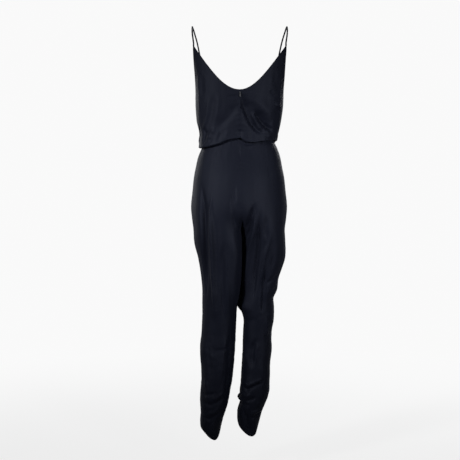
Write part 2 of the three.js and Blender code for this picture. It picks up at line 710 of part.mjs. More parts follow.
// The slider sits on the cloth at the top of the zip
const pullShare = (BACK_NECK_Z - PULL_Z) / (BACK_NECK_Z - blouseFold(1, 0).z);
const seat = bodicePoint('back', 1, 0, pullShare);
const hinge = new THREE.Vector3(seat.x - EDGE, seat.y + SLIDER_GAP - SLIDER.back, PULL_Z);
const metal = new THREE.MeshStandardMaterial({ color: ZIP_METAL, roughness: 0.35, metalness: 0.9 });
addPiece('zip_slider', sliderGeometry(), metal).position.copy(hinge);
addPiece('zip_pull', pullGeometry(), metal.clone()).position.copy(hinge);

export default jumpsuit;
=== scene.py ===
# A strappy one-piece jumpsuit in its worn, hollow shape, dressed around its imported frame.
# Lengths in the tables are millimetres. +Z is up, the front faces -Y, the garment's left is +X.
import math

import bpy
import numpy as np
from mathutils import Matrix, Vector


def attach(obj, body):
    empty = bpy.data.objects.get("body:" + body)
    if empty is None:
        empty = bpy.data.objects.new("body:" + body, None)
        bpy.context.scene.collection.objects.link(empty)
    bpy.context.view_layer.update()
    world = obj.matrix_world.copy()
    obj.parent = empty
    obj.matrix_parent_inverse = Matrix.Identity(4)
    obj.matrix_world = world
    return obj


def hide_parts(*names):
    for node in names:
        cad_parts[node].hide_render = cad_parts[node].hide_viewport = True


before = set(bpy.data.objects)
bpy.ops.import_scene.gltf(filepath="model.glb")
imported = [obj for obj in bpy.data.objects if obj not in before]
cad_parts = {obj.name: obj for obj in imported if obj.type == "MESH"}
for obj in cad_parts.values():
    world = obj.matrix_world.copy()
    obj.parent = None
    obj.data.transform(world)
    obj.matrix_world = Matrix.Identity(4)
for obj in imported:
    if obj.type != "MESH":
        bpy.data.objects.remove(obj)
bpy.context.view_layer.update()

MM = 0.001
TINY = 1e-9
QUARTER = math.pi / 2
SIDES = ((1, "left"), (-1, "right"))


# Nodes and plain materials

def add_node(tree, kind, **values):
    """A new node with values for its sockets, whose names have underscores for spaces."""
    node = tree.nodes.new("ShaderNode" + kind)
    for label, value in values.items():
        node.inputs[label.replace("_", " ")].default_value = value
    return node


def new_material(name, color, roughness, **sockets):
    material = bpy.data.materials.new(name)
    material.use_nodes = True
    shader = material.node_tree.nodes["Principled BSDF"]
    shader.inputs["Base Color"].default_value = color
    shader.inputs["Roughness"].default_value = roughness
    for label, value in sockets.items():
        shader.inputs[label.replace("_", " ")].default_value = value
    return material, shader


# Camera and studio. The studio's lengths are metres.

PHOTO_SIDE = 460
CAMERA_PLACE = (33, 3000, -620)
CAMERA_PITCH = 1.37
FOCAL_PIXELS = 871
SENSOR = 36
CLIP_END = 60
BACKDROP = (0.95, 0.95, 0.95, 1)
WORLD_TINT = (0.96, 0.98, 1, 1)
WORLD_LIGHT = 0.11
FLOOR_Z = -1.53
FLOOR_REACH = 14
FLOOR_GREY = (0.86, 0.86, 0.86, 1)
FLOOR_BOUNCE = (0.2, 0.2, 0.2, 1)
FLOOR_FADE = (0.9, 2.6)
FLOOR_GLOW = 0.78

# Each spot's name, place, aim, softness, cone in degrees and watts
SPOTS = (
    ("key_lamp", (2.1, 2.0, 0.45), (0, 0, -0.62), 0.28, 29, 275),
    ("fill_lamp", (-1.7, 2.5, -0.1), (0, 0, -0.56), 0.4, 31, 235),
)
# Each soft box's name, place, aim and watts
SOFT_BOXES = (
    ("front_lamp", (-1.4, -3.0, 1.2), (0, 0, -0.6), 100),
    ("front_fill_lamp", (2.2, -2.4, 0.3), (0, 0, -0.6), 26),
)
SOFT_BOX_SIDE = 1.4


def make_camera():
    data = bpy.data.cameras.new("studio_camera")
    data.sensor_fit = "HORIZONTAL"
    data.sensor_width = SENSOR
    data.lens = SENSOR * FOCAL_PIXELS / PHOTO_SIDE
    data.clip_end = CLIP_END
    camera = bpy.data.objects.new("studio_camera", data)
    camera.location = Vector(CAMERA_PLACE) * MM
    camera.rotation_euler = (math.radians(90 - CAMERA_PITCH), 0, math.radians(180))
    bpy.context.collection.objects.link(camera)
    bpy.context.scene.camera = camera


def hang_lamp(name, data, place, aim, power):
    data.energy = power
    lamp = bpy.data.objects.new(name, data)
    lamp.location = place
    lamp.rotation_euler = (Vector(aim) - Vector(place)).to_track_quat("-Z", "Y").to_euler()
    bpy.context.collection.objects.link(lamp)


def make_lamps():
    """Round spots whose light fades evenly to the edge, and soft boxes for the front."""
    for name, place, aim, soft, degrees, power in SPOTS:
        data = bpy.data.lights.new(name, "SPOT")
        data.shadow_soft_size = soft
        data.spot_size = math.radians(degrees)
        data.spot_blend = 1
        hang_lamp(name, data, place, aim, power)
    for name, place, aim, power in SOFT_BOXES:
        data = bpy.data.lights.new(name, "AREA")
        data.shape = "RECTANGLE"
        data.size = data.size_y = SOFT_BOX_SIDE
        hang_lamp(name, data, place, aim, power)


def camera_sees(tree, shown, lit, output):
    """The camera sees one shader, and the light in the room meets the other."""
    path = add_node(tree, "LightPath")
    choice = add_node(tree, "MixShader")
    tree.links.new(path.outputs["Is Camera Ray"], choice.inputs["Fac"])
    tree.links.new(lit.outputs[0], choice.inputs[1])
    tree.links.new(shown.outputs[0], choice.inputs[2])
    tree.links.new(choice.outputs[0], output.inputs["Surface"])


def make_world():
    """Pale behind the garment, and weaker as a light, so that the lamps draw the folds."""
    world = bpy.data.worlds.new("studio_world")
    world.use_nodes = True
    tree = world.node_tree
    shown = tree.nodes["Background"]
    shown.inputs["Color"].default_value = BACKDROP
    lit = add_node(tree, "Background", Color=WORLD_TINT, Strength=WORLD_LIGHT)
    camera_sees(tree, shown, lit, tree.nodes["World Output"])
    bpy.context.scene.world = world
    bpy.context.scene.view_settings.view_transform = "Standard"


def floor_paint():
    """Pale near the garment, one with the backdrop further out, and weaker as a bounce light."""
    paint, near = new_material("studio_floor", FLOOR_GREY, 0.9, Specular_IOR_Level=0.1)
    tree = paint.node_tree
    far = add_node(tree, "Emission", Color=BACKDROP)
    bounce = add_node(tree, "BsdfDiffuse", Color=FLOOR_BOUNCE)
    place = add_node(tree, "TexCoord")
    reach = add_node(tree, "VectorMath")
    reach.operation = "LENGTH"
    start, end = FLOOR_FADE
    fade = add_node(tree, "MapRange", From_Min=start, From_Max=end, To_Min=FLOOR_GLOW)
    fade.interpolation_type = "SMOOTHSTEP"
    shown = add_node(tree, "MixShader")
    tree.links.new(place.outputs["Object"], reach.inputs[0])
    tree.links.new(reach.outputs["Value"], fade.inputs["Value"])
    tree.links.new(fade.outputs["Result"], shown.inputs["Fac"])
    tree.links.new(near.outputs[0], shown.inputs[1])
    tree.links.new(far.outputs[0], shown.inputs[2])
    camera_sees(tree, shown, bounce, tree.nodes["Material Output"])
    return paint


def make_floor():
    mesh = bpy.data.meshes.new("studio_floor")
    far = FLOOR_REACH
    corners = [(-far, -far, 0), (far, -far, 0), (far, far, 0), (-far, far, 0)]
    mesh.from_pydata(corners, [], [(0, 1, 2, 3)])
    mesh.materials.append(floor_paint())
    floor = bpy.data.objects.new("studio_floor", mesh)
    floor.location = (0, 0, FLOOR_Z)
    bpy.context.collection.objects.link(floor)


make_camera()
make_world()
make_lamps()
make_floor()

# Cross-sections, shared with the garment's solids

EDGE = 0.02
COLUMNS = 11
BODICE_ROUNDNESS = 2.35
HIP_ROUNDNESS = 2.15
LEG_ROUNDNESS = 2.25
INNER_THIGH = 1.5
INNER_THIGH_Z = (-930, -740)
WAIST_Z = -374
WAIST_EASE = 0.4
SIDE_TOP_Z = -240
BACK_NECK_Z = -222
FRONT_NECK_Z = -205
BACK_TIP_Z = -69
FRONT_TIP_Z = -118
NECK_CURVE = {1: 2.08, -1: 1.92}
CROTCH_START_Z = -628
CROTCH_Z = -690
SEAT_START_Z = -590
SEAT_END_Z = -775
SEAT_FULLNESS = 0.42
HEM_START = 1240
HEM_END = 1400
ZIP_END_Z = -512
TIP_COLUMN = 7
TIP_TURN = {"back": (math.radians(60), math.radians(63)),
            "front": (math.radians(130), math.radians(127))}

TORSO_COLUMNS = ("z", "left", "right", "front", "back", "lean")
TORSO = (
    (-40, 176, 176, 76, 72, 0),
    (-69, 175, 175, 84, 80, 0),
    (-118, 167, 166, 97, 91, 0),
    (-170, 158, 158, 112, 95, 0),
    (-222, 152, 151, 117, 96, 0.5),
    (-270, 151, 149, 113, 93, 1),
    (-320, 147, 142, 108, 90, 2),
    (-355, 139, 134, 106, 89, 3),
    (-385, 138, 127, 106, 91, 3),
    (-412, 141, 131, 107, 95, 3),
)
HIPS = (
    (-374, 123, 116, 90, 77.5, 3),
    (-390, 125, 119, 91, 79.5, 3),
    (-410, 130, 129, 92, 84, 3),
    (-441, 142, 139, 93, 92, 3),
    (-476, 150, 146, 94, 103, 3.5),
    (-512, 157, 153, 96, 113, 4),
    (-560, 162, 158, 99, 122, 4),
    (-610, 167, 163, 101, 126, 5),
    (-650, 164, 160, 101, 124, 7),
    (-690, 159, 155, 99, 116, 8),
    (-720, 157, 156, 96, 112, 8),
)
LEG_COLUMNS = ("z", "outer", "inner", "front", "back", "seam", "slip")
LEFT_LEG = (
    (-628, 166, -5.85, 100, 124, 0, 0),
    (-690, 159, -7.85, 94, 112, 0, 0),
    (-706, 158, -8.6, 93, 109, 0, 7),
    (-724, 157, -9, 92, 106, 0, 16),
    (-751, 152, -9.5, 90, 101, 0, 20),
    (-786, 143, -9, 88, 96, 0, 20),
    (-820, 137, -8, 86, 91, 0, 20),
    (-858, 132, -6, 84, 86, 0, 20),
    (-895, 129, -2, 82, 81, 0, 20),
    (-924, 129, 3, 80, 77, -1, 18),
    (-958, 129, 9, 79, 73, -2, 10),
    (-985, 129, 11, 79, 70, -2, 4),
    (-1044, 132, 13, 77, 66, -4, 0),
    (-1100, 136, 15.5, 71, 68, -2, 0),
    (-1150, 133, 19, 65, 72, 2, 0),
    (-1200, 131, 24, 61, 73, 4, 0),
    (-1251, 135, 33, 58, 72, 5, 0),
    (-1286, 136, 39, 56, 70, 6, 0),
    (-1320, 134, 50, 54, 68, 7, 0),
    (-1360, 135, 62, 54, 66, 7, 0),
    (-1405, 128, 66, 54, 64, 7, 0),
)
RIGHT_LEG = (
    (-628, 162, 6.15, 100, 124, 0, 0),
    (-690, 155, 8.15, 94, 112, 0, 0),
    (-706, 156, 7.6, 93, 109, 0, -7),
    (-724, 157, 7.5, 92, 106, 0, -16),
    (-760, 158, 7, 90, 100, 0, -20),
    (-790, 156, 6.5, 88, 95, 0, -20),
    (-820, 147, 5.5, 87, 90, 0, -20),
    (-858, 134, 4, 85, 84, -1, -20),
    (-895, 129, 0.5, 84, 79, -2, -20),
    (-924, 117, -2.5, 83, 75, -3, -18),
    (-955, 118.5, -7.5, 83, 70, -4.6, -10),
    (-976, 119, 7, 83, 67, -6, -4),
    (-1004, 118, 14, 83, 62, -9, 0),
    (-1044, 111, 12, 83, 58, -12, 0),
    (-1100, 111, 10, 80, 57, -12, 0),
    (-1150, 106, 8, 75, 60, -9, 0),
    (-1200, 105, 5, 71, 61, -6, 0),
    (-1251, 102, 0, 68, 60, -4, 0),
    (-1258, 100, 0.2, 67.5, 59.5, -4.2, 0),
    (-1270, 97, -8, 67, 58.5, -4.5, 0),
    (-1281, 93, 0.5, 66, 57.5, -4.8, 0),
    (-1286, 91, 1, 66, 57, -5, 0),
    (-1320, 77, -9, 65, 54, -6, 0),
    (-1360, 67, -6, 64, 52, -6, 0),
    (-1400, 64, 6, 63, 51, -6, 0),
)
HEMS = {
    1: {"outer": -1368, "back": -1404, "inseam": -1367, "front": -1342},
    -1: {"outer": -1340, "back": -1394, "inseam": -1360, "front": -1326},
}
HEM_SKEW = {1: 1.5, -1: 0.8}
BLOUSE_COLUMNS = ("angle", "z", "half")
BLOUSE = {
    1: ((0, -383, 2.2), (14, -389, 2.6), (28, -402, 3.4), (50, -411, 4), (75, -413, 4),
        (90, -410, 3.8), (120, -402, 3.8), (150, -406, 4), (180, -400, 3.6)),
    -1: ((0, -384, 2.3), (7, -396, 3.2), (16, -398, 3.2), (30, -394, 2.9), (60, -387, 2.3),
         (90, -385, 2.2), (120, -396, 3), (150, -407, 4), (180, -400, 3.6)),
}


def mix(a, b, share):
    return a + (b - a) * share


def smooth(value):
    t = np.clip(value, 0, 1)
    return t * t * (3 - 2 * t)


def bend(value, roundness):
    return np.sign(value) * np.abs(value) ** (2 / roundness)


def read_table(table, names, at):
    """Smooth curves through the table's columns, read at an array of key values."""
    rows = np.array(table, float)
    if rows[0, 0] > rows[-1, 0]:
        rows = rows[::-1]
    key = rows[:, 0]
    before = np.vstack((rows[:1], rows[:-1]))
    after = np.vstack((rows[1:], rows[-1:]))
    slopes = (after - before) / (after[:, :1] - before[:, :1])
    at = np.asarray(at, float)
    k = np.clip(np.searchsorted(key, at) - 1, 0, len(key) - 2)
    span = key[k + 1] - key[k]
    t = np.clip((at - key[k]) / span, 0, 1)
    found = {names[0]: at}
    for column in range(1, len(names)):
        low, high = rows[k, column], rows[k + 1, column]
        slope_low, slope_high = slopes[k, column] * span, slopes[k + 1, column] * span
        found[names[column]] = (
            (2 * t ** 3 - 3 * t ** 2 + 1) * low + (t ** 3 - 2 * t ** 2 + t) * slope_low
            + (3 * t ** 2 - 2 * t ** 3) * high + (t ** 3 - t ** 2) * slope_high)
    return found


def torso_points(row, side, turn, roundness, grow=0.0, gap=EDGE):
    """turn: 0 at the centre back, a quarter turn at the side seam, a half turn at the front."""
    reach = np.where(side > 0, row["left"] + row["lean"], row["right"] - row["lean"])
    half = reach + grow - gap
    across = bend(np.sin(turn), roundness)
    along = bend(np.cos(turn), roundness)
    depth = np.where(along > 0, row["back"], row["front"]) + grow
    x = side * (gap + half * across) - row["lean"]
    return np.stack((x, depth * along, row["z"] + 0 * x), -1)


def leg_points(row, side, turn):
    """turn: 0 at the side seam, a quarter turn at the back, a half turn at the inseam."""
    middle = (row["outer"] + row["inner"]) / 2
    half = (row["outer"] - row["inner"]) / 2
    lift = (row["z"] - INNER_THIGH_Z[0]) / (INNER_THIGH_Z[1] - INNER_THIGH_Z[0])
    squarer = INNER_THIGH * smooth(lift)
    roundness = LEG_ROUNDNESS + squarer * np.where(np.cos(turn) < 0, 1, 0)
    across = bend(np.cos(turn), roundness)
    along = bend(np.sin(turn), roundness)
    depth = np.where(along > 0, row["back"] - row["seam"], row["front"] + row["seam"])
    slip = row["slip"] * ((1 - across) / 2) ** 2
    x = side * (middle + half * across)
    return np.stack((x, row["seam"] + slip + depth * along, row["z"] + 0 * x), -1)


# Bodice surface. v runs 0 to 1 from the top edge to the blouse's fold, 1 to 2 round the fold,
# and 2 to 3 back up inside it to the waist seam.

def top_edge(part, side, column):
    back = part == "back"
    tip_inner, tip_outer = TIP_TURN[part]
    centre = 0 if back else math.pi
    neck_z = BACK_NECK_Z if back else FRONT_NECK_Z
    tip_z = BACK_TIP_Z if back else FRONT_TIP_Z
    neck_turn = mix(centre, tip_inner, np.clip(column / TIP_COLUMN, 0, 1))
    reach = bend(np.sin(neck_turn), BODICE_ROUNDNESS) / bend(math.sin(tip_inner), BODICE_ROUNDNESS)
    neck_height = mix(neck_z, tip_z, np.abs(reach) ** NECK_CURVE[side])
    past = column - TIP_COLUMN
    tip_turn = mix(tip_inner, tip_outer, np.clip(past, 0, 1))
    share = np.clip((past - 1) / (COLUMNS - TIP_COLUMN - 1), 0, 1)
    arm_turn = mix(tip_outer, QUARTER, share)
    arm_height = mix(tip_z, SIDE_TOP_Z, np.sin(share * QUARTER))
    turn = np.where(past <= 0, neck_turn, np.where(past <= 1, tip_turn, arm_turn))
    height = np.where(past <= 0, neck_height, np.where(past <= 1, tip_z, arm_height))
    return turn, height


def bodice_points(part, side, column, v):
    back = part == "back"
    top_turn, top_z = top_edge(part, side, column)
    low_turn = QUARTER * column / COLUMNS
    if not back:
        low_turn = math.pi - low_turn
    gap = EDGE if back else 0.0
    angle = np.degrees(low_turn)
    left = read_table(BLOUSE[1], BLOUSE_COLUMNS, angle)
    right = read_table(BLOUSE[-1], BLOUSE_COLUMNS, angle)
    blouse_z = np.where(side > 0, left["z"], right["z"])
    half = np.where(side > 0, left["half"], right["half"])
    fold_z = blouse_z + half
    down = np.clip(v, 0, 1)
    row = read_table(TORSO, TORSO_COLUMNS, mix(top_z, fold_z, down))
    swing = np.clip(v - 1, 0, 1) * math.pi
    turn = mix(top_turn, low_turn, smooth(down))
    points = torso_points(row, side, turn, BODICE_ROUNDNESS, -half * (1 - np.cos(swing)), gap)
    points[..., 2] -= half * np.sin(swing)
    waist = read_table(HIPS, TORSO_COLUMNS, np.full_like(v, WAIST_Z))
    seam = torso_points(waist, side, low_turn, HIP_ROUNDNESS, WAIST_EASE, gap)
    points = mix(points, seam, np.clip(v - 2, 0, 1)[..., None])
    points[..., 1] += EDGE if back else -EDGE
    return points


# Trouser surface. u runs from the side seam to the centre seam and inseam, and v is the depth
# below the straps on the outer seam.

def hem_heights(side, turn):
    hem = HEMS[side]
    skewed = np.sin(math.pi * np.abs(turn / math.pi) ** HEM_SKEW[side])
    across = np.where(turn > 0, skewed, np.sin(turn))
    seams = mix(hem["inseam"], hem["outer"], (np.cos(turn) + 1) / 2)
    facing = np.where(across > 0, hem["back"], hem["front"])
    return mix(seams, facing, np.abs(across) ** 1.5)


def leg_share(u, z):
    drop = np.clip((CROTCH_START_Z - z) / (CROTCH_START_Z - CROTCH_Z), 0, 1)
    crotch = 1 - np.sqrt(1 - drop * drop)
    seat = smooth((SEAT_START_Z - z) / (SEAT_START_Z - SEAT_END_Z))
    return mix(seat, crotch, u ** 6)


def trouser_points(part, side, u, v):
    back = part == "back"
    leg_turn = (1 if back else -1) * math.pi * u
    slant = np.clip(v - HEM_START, 0, None) / (HEM_END - HEM_START)
    z = np.where(v > HEM_START, mix(-HEM_START, hem_heights(side, leg_turn), slant), -v)
    table = LEFT_LEG if side > 0 else RIGHT_LEG
    leg = leg_points(read_table(table, LEG_COLUMNS, np.minimum(z, CROTCH_START_Z)), side, leg_turn)
    hip_turn = QUARTER * (1 - u)
    if not back:
        hip_turn = math.pi - hip_turn
    hip = torso_points(read_table(HIPS, TORSO_COLUMNS, z), side, hip_turn, HIP_ROUNDNESS)
    share = np.where(z > SEAT_END_Z, leg_share(u, z), 1.0)
    points = mix(hip, leg, share[..., None])
    points[..., 1] *= 1 + SEAT_FULLNESS * share * (1 - share)
    points[..., 2] = z
    points[..., 1] += EDGE if back else -EDGE
    return points


# Creases. Each has a line of (x, z) places on the unrolled face, half its width, its height
# out of the cloth, how far it leans over (-1 to 1), how sharp its crest is, and which of its
# two ends fade out.

SOFT = 2.0
CRISP = 1.6
FADE_SHARE = 0.32


def crease(line, wide, high, lean=0.0, crest=SOFT, fades=(1, 1)):
    return {"line": np.array(line, float), "wide": wide, "high": high, "lean": lean,
            "crest": crest, "fades": fades}


def crease_height(fold, x, z):
    """Height of one crease at the places given by x and z."""
    line, wide = fold["line"], fold["wide"]
    height = np.zeros_like(x)
    low, top = line.min(0) - 4 * wide, line.max(0) + 4 * wide
    near = (x > low[0]) & (x < top[0]) & (z > low[1]) & (z < top[1])
    if not near.any():
        return height
    px, pz = x[near], z[near]
    spans = np.linalg.norm(np.diff(line, axis=0), axis=1)
    starts = np.concatenate(([0], np.cumsum(spans)))
    best = np.full(px.shape, np.inf)
    along = np.zeros_like(px)
    offset = np.zeros_like(px)
    for k, span in enumerate(spans):
        (ax, az), (bx, bz) = line[k], line[k + 1]
        dx, dz = (bx - ax) / span, (bz - az) / span
        run = np.clip((px - ax) * dx + (pz - az) * dz, 0, span)
        gap = np.hypot(px - ax - run * dx, pz - az - run * dz)
        side = np.sign((px - ax) * dz - (pz - az) * dx)
        closer = gap < best
        best = np.where(closer, gap, best)
        along = np.where(closer, (starts[k] + run) / starts[-1], along)
        offset = np.where(closer, side * gap, offset)
    first, last = fold["fades"]
    taper = np.ones_like(px)
    if first:
        taper = taper * smooth(along / FADE_SHARE)
    if last:
        taper = taper * smooth((1 - along) / FADE_SHARE)
    reach = wide * (0.55 + 0.45 * taper) * (1 + fold["lean"] * np.sign(offset) * 0.6)
    height[near] = fold["high"] * taper * np.exp(-(np.abs(offset) / reach) ** fold["crest"])
    return height


def all_creases(creases, z):
    """The height of all creases, given as pairs of a table and the x to read it at."""
    return sum(sum((crease_height(fold, x, z) for fold in table), np.zeros_like(x))
               for table, x in creases)


BODICE_BACK = [
    crease([(-4, -234), (-11, -272), (-25, -307), (-38, -334), (-58, -355), (-84, -370)],
           13.5, -14, 0.75),
    crease([(6, -262), (26, -296), (50, -325), (73, -345), (92, -352)], 14, -5.0, -0.2),
    crease([(-1, -276), (-3, -320), (-6, -362)], 14, 3.2),
    crease([(-38, -292), (-47, -316), (-59, -341), (-78, -368)], 5.5, 9.5, 0.3, CRISP),
    crease([(-46, -284), (-58, -306), (-72, -326), (-90, -345), (-116, -362)], 10.5, -15, 0.6),
    crease([(-78, -322), (-94, -334), (-112, -348)], 4, 3.0, 0.2, CRISP),
    crease([(-40, -334), (-52, -352), (-71, -372)], 6, -2.6),
    crease([(-16, -240), (-40, -254), (-66, -270), (-98, -296), (-112, -330)], 17, 4.2, 0.2),
    crease([(106, -240), (109, -270), (111, -300), (119, -337), (127, -366)],
           4.5, 2.2, 0.2, CRISP),
    crease([(88, -226), (91, -262), (95, -300), (106, -338), (112, -360)], 9, -2.6, 0.2),
    crease([(72, -230), (70, -262), (76, -300), (88, -330)], 9, 1.8),
    crease([(138, -150), (140, -196), (140, -250), (136, -306)], 6, 1.9),
    crease([(127, -160), (126, -205), (124, -250)], 7, -1.7),
    crease([(104, -352), (115, -366), (120, -386), (127, -404)], 5, -2.8, 0.2, CRISP),
    crease([(126, -346), (118, -356), (112, -368)], 4.5, -2.0),
    crease([(90, -356), (96, -376), (101, -402)], 6.5, -2.2),
    crease([(84, -342), (92, -362), (110, -392)], 8, 3.0),
    crease([(62, -362), (70, -380), (78, -402)], 6, -1.7),
    crease([(36, -352), (44, -370), (50, -392)], 7, 1.7),
    crease([(-98, -222), (-112, -232), (-127, -242)], 6, -2.2),
    crease([(-116, -264), (-132, -272), (-150, -279)], 5, 4.6, 0.2, CRISP),
    crease([(-118, -277), (-134, -286), (-150, -292)], 5, -2.6),
    crease([(3, -352), (0, -368), (-3, -384)], 8, -3.0),
    crease([(-22, -352), (-26, -370), (-30, -388)], 6, 1.8),
    crease([(-90, -352), (-96, -370), (-100, -388)], 6, 1.6),
    crease([(-72, -366), (-92, -376), (-116, -371)], 5, 1.9),
    crease([(-137, -150), (-139, -196), (-139, -240), (-131, -316)], 6, 1.8),
    crease([(-120, -150), (-121, -190), (-128, -232)], 8, -1.5),
    crease([(42, -232), (22, -236), (3, -233)], 3.4, 0.9, 0, CRISP),
    crease([(46, -246), (24, -246), (3, -241)], 3.4, -0.8, 0, CRISP),
    crease([(-44, -226), (-24, -236), (-3, -236)], 3.2, 0.8, 0, CRISP),
    crease([(100, -118), (84, -150), (78, -190)], 8, -1.2),
    crease([(-98, -118), (-86, -150), (-74, -196)], 8, -1.4),
    crease([(118, -96), (112, -134), (108, -176)], 7, 1.1),
    crease([(-118, -96), (-112, -132), (-108, -170)], 7, 1.2),
    crease([(150, -330), (170, -350), (190, -372)], 8, -2.6),
    crease([(148, -356), (164, -372), (178, -400)], 7, 2.4),
    crease([(-146, -330), (-166, -348), (-184, -376)], 8, -2.4),
    crease([(-140, -358), (-158, -372), (-172, -390)], 7, 2.2),
]

BODICE_FRONT = [
    crease([(20, -208), (34, -250), (52, -310), (68, -382)], 12, -3.8, 0.2),
    crease([(-16, -212), (-34, -258), (-56, -312), (-80, -376)], 13, -4.2, -0.2),
    crease([(4, -250), (1, -300), (-7, -345), (-12, -398)], 14, 3.4),
    crease([(88, -140), (80, -190), (84, -260), (98, -330), (108, -392)], 12, 2.4, 0.2),
    crease([(-90, -138), (-84, -190), (-90, -262), (-104, -336), (-112, -396)], 12, 2.2),
    crease([(60, -180), (66, -240), (84, -300), (92, -366)], 8, -2.4),
    crease([(-64, -182), (-66, -236), (-80, -296), (-98, -360)], 8, -2.2),
    crease([(30, -330), (38, -362), (44, -402)], 6, 2.2, 0, CRISP),
    crease([(-30, -326), (-36, -364), (-46, -404)], 6, 2.4, 0, CRISP),
    crease([(16, -352), (18, -378), (22, -402)], 5, -2.0),
    crease([(-20, -356), (-24, -380), (-28, -404)], 5, -1.8),
    crease([(118, -342), (126, -370), (130, -402)], 6, -2.6),
    crease([(-116, -346), (-124, -372), (-130, -404)], 6, -2.4),
    crease([(76, -352), (82, -376), (84, -404)], 5.5, -2.2),
    crease([(-70, -356), (-74, -380), (-78, -404)], 5.5, -2.0),
    crease([(118, -160), (130, -200), (136, -250)], 8, -1.6),
    crease([(-118, -160), (-130, -202), (-136, -252)], 8, -1.7),
]

TROUSER_BACK = [
    crease([(130, -520), (126, -560), (122, -604), (119, -689), (117, -797), (114, -935)],
           9, -6.4, 0.2),
    crease([(92, -556), (98, -623), (95, -713), (91, -787), (88, -875), (83, -985)], 7, 6.6, 0.2),
    crease([(3, -392), (3, -425), (2, -456)], 3.2, -1.3),
    crease([(-4, -398), (-26, -402), (-56, -400)], 3.4, -1.1, 0, CRISP),
    crease([(-4, -408), (-24, -412), (-48, -411)], 3.2, 0.9, 0, CRISP),
    crease([(104, -580), (105, -690), (101, -800), (98, -900)], 9, 1.8),
    crease([(50, -715), (58, -780), (59, -850), (57, -933), (51, -1010)], 7, -4.0),
    crease([(74, -640), (74, -720), (74, -800), (70, -900)], 9, -1.5),
    crease([(40, -740), (42, -820), (40, -900), (36, -960)], 7, 1.6),
    crease([(9, -530), (8, -570), (7, -612)], 4, 0.8, 0, CRISP),
    crease([(17, -540), (17, -572), (15, -604)], 4, -1.0),
    crease([(30, -560), (27, -600), (20, -650), (14, -690)], 6, -1.6),
    crease([(-50, -590), (-38, -652), (-25, -697), (-10, -738)], 8.5, -5.2, 0.2),
    crease([(-54, -606), (-46, -700), (-32, -767), (-22, -840), (-12, -925)], 7, 4.4, -0.2),
    crease([(-68, -612), (-63, -712), (-58, -773), (-49, -840), (-43, -945)], 7.2, -6.4, 0.2),
    crease([(-100, -715), (-90, -748), (-80, -790), (-66, -890)], 6.5, 3.8, 0.2),
    crease([(-88, -640), (-86, -690), (-92, -730)], 9, -1.8),
    crease([(-84, -800), (-80, -892), (-76, -985)], 6.5, -4.0),
    crease([(-108, -700), (-112, -780), (-104, -840)], 9, -1.6),
    crease([(-146, -842), (-126, -847), (-106, -858), (-84, -876)], 6, -1.5, 0.3),
    crease([(-146, -856), (-128, -863), (-110, -874)], 6, 1.1),
    crease([(-138, -888), (-120, -894), (-106, -904), (-92, -918)], 6, -1.4, 0.2),
    crease([(-138, -902), (-122, -908), (-100, -924)], 6, 1.0),
    crease([(-92, -985), (-93, -1020), (-92, -1056)], 5, 2.2),
    crease([(-57, -1056), (-44, -1092), (-40, -1125), (-40, -1164)], 9, -3.6),
    crease([(-66, -1066), (-56, -1100), (-54, -1150)], 6, 2.0),
    crease([(-18, -1070), (-16, -1110), (-20, -1150)], 7, 1.8),
    crease([(-4, -1218), (-24, -1234), (-57, -1218), (-84, -1209)], 6, -3.4, 0.3),
    crease([(-8, -1206), (-28, -1220), (-58, -1204), (-82, -1196)], 6, 2.4),
    crease([(6, -1258), (-15, -1273), (-38, -1268), (-62, -1256)], 6, -2.8, 0.2),
    crease([(2, -1246), (-18, -1256), (-44, -1250)], 6, 2.2),
    crease([(-12, -1296), (-20, -1322), (-28, -1352), (-34, -1384)], 6.5, -3.4, 0, SOFT, (1, 0)),
    crease([(-86, -1314), (-65, -1320), (-44, -1328), (-30, -1326)], 5, -2.8, 0.2, CRISP),
    crease([(-84, -1302), (-60, -1308), (-38, -1314)], 5, 2.0),
    crease([(-40, -1300), (-48, -1336), (-50, -1384)], 7, 2.2, 0, SOFT, (1, 0)),
    crease([(30, -1010), (34, -1090), (37, -1166), (54, -1275)], 7, -2.4),
    crease([(44, -1020), (52, -1090), (62, -1160), (74, -1240)], 8, 1.8),
    crease([(84, -870), (85, -930), (84, -1005)], 9, 2.4),
    crease([(110, -1044), (100, -1080), (80, -1102), (54, -1110)], 8, -0.9),
    crease([(118, -1090), (100, -1116), (72, -1126)], 8, 0.9),
    crease([(28, -1084), (54, -1096), (90, -1098)], 6, -1.3),
    crease([(112, -1060), (104, -1120), (96, -1200)], 9, -1.9),
    crease([(120, -1180), (110, -1230), (106, -1290)], 7, 1.6),
    crease([(140, -1236), (118, -1250), (96, -1246), (76, -1236)], 6, -1.7),
    crease([(50, -1252), (72, -1272), (98, -1282), (130, -1274)], 6, -2.2, 0.2),
    crease([(52, -1238), (76, -1258), (102, -1267)], 6, 1.7),
    crease([(66, -1300), (84, -1322), (106, -1330), (134, -1322)], 6, -2.0, 0.2),
    crease([(66, -1288), (86, -1308), (110, -1314)], 6, 1.7),
    crease([(88, -1336), (92, -1366), (94, -1404)], 7, 1.9, 0, SOFT, (1, 0)),
    crease([(110, -1336), (114, -1364), (116, -1400)], 6, -1.7, 0, SOFT, (1, 0)),
    crease([(-60, -985), (-36, -1000), (-14, -996)], 9, -0.8),
    crease([(-104, -962), (-84, -978), (-56, -984)], 9, -0.7),
]

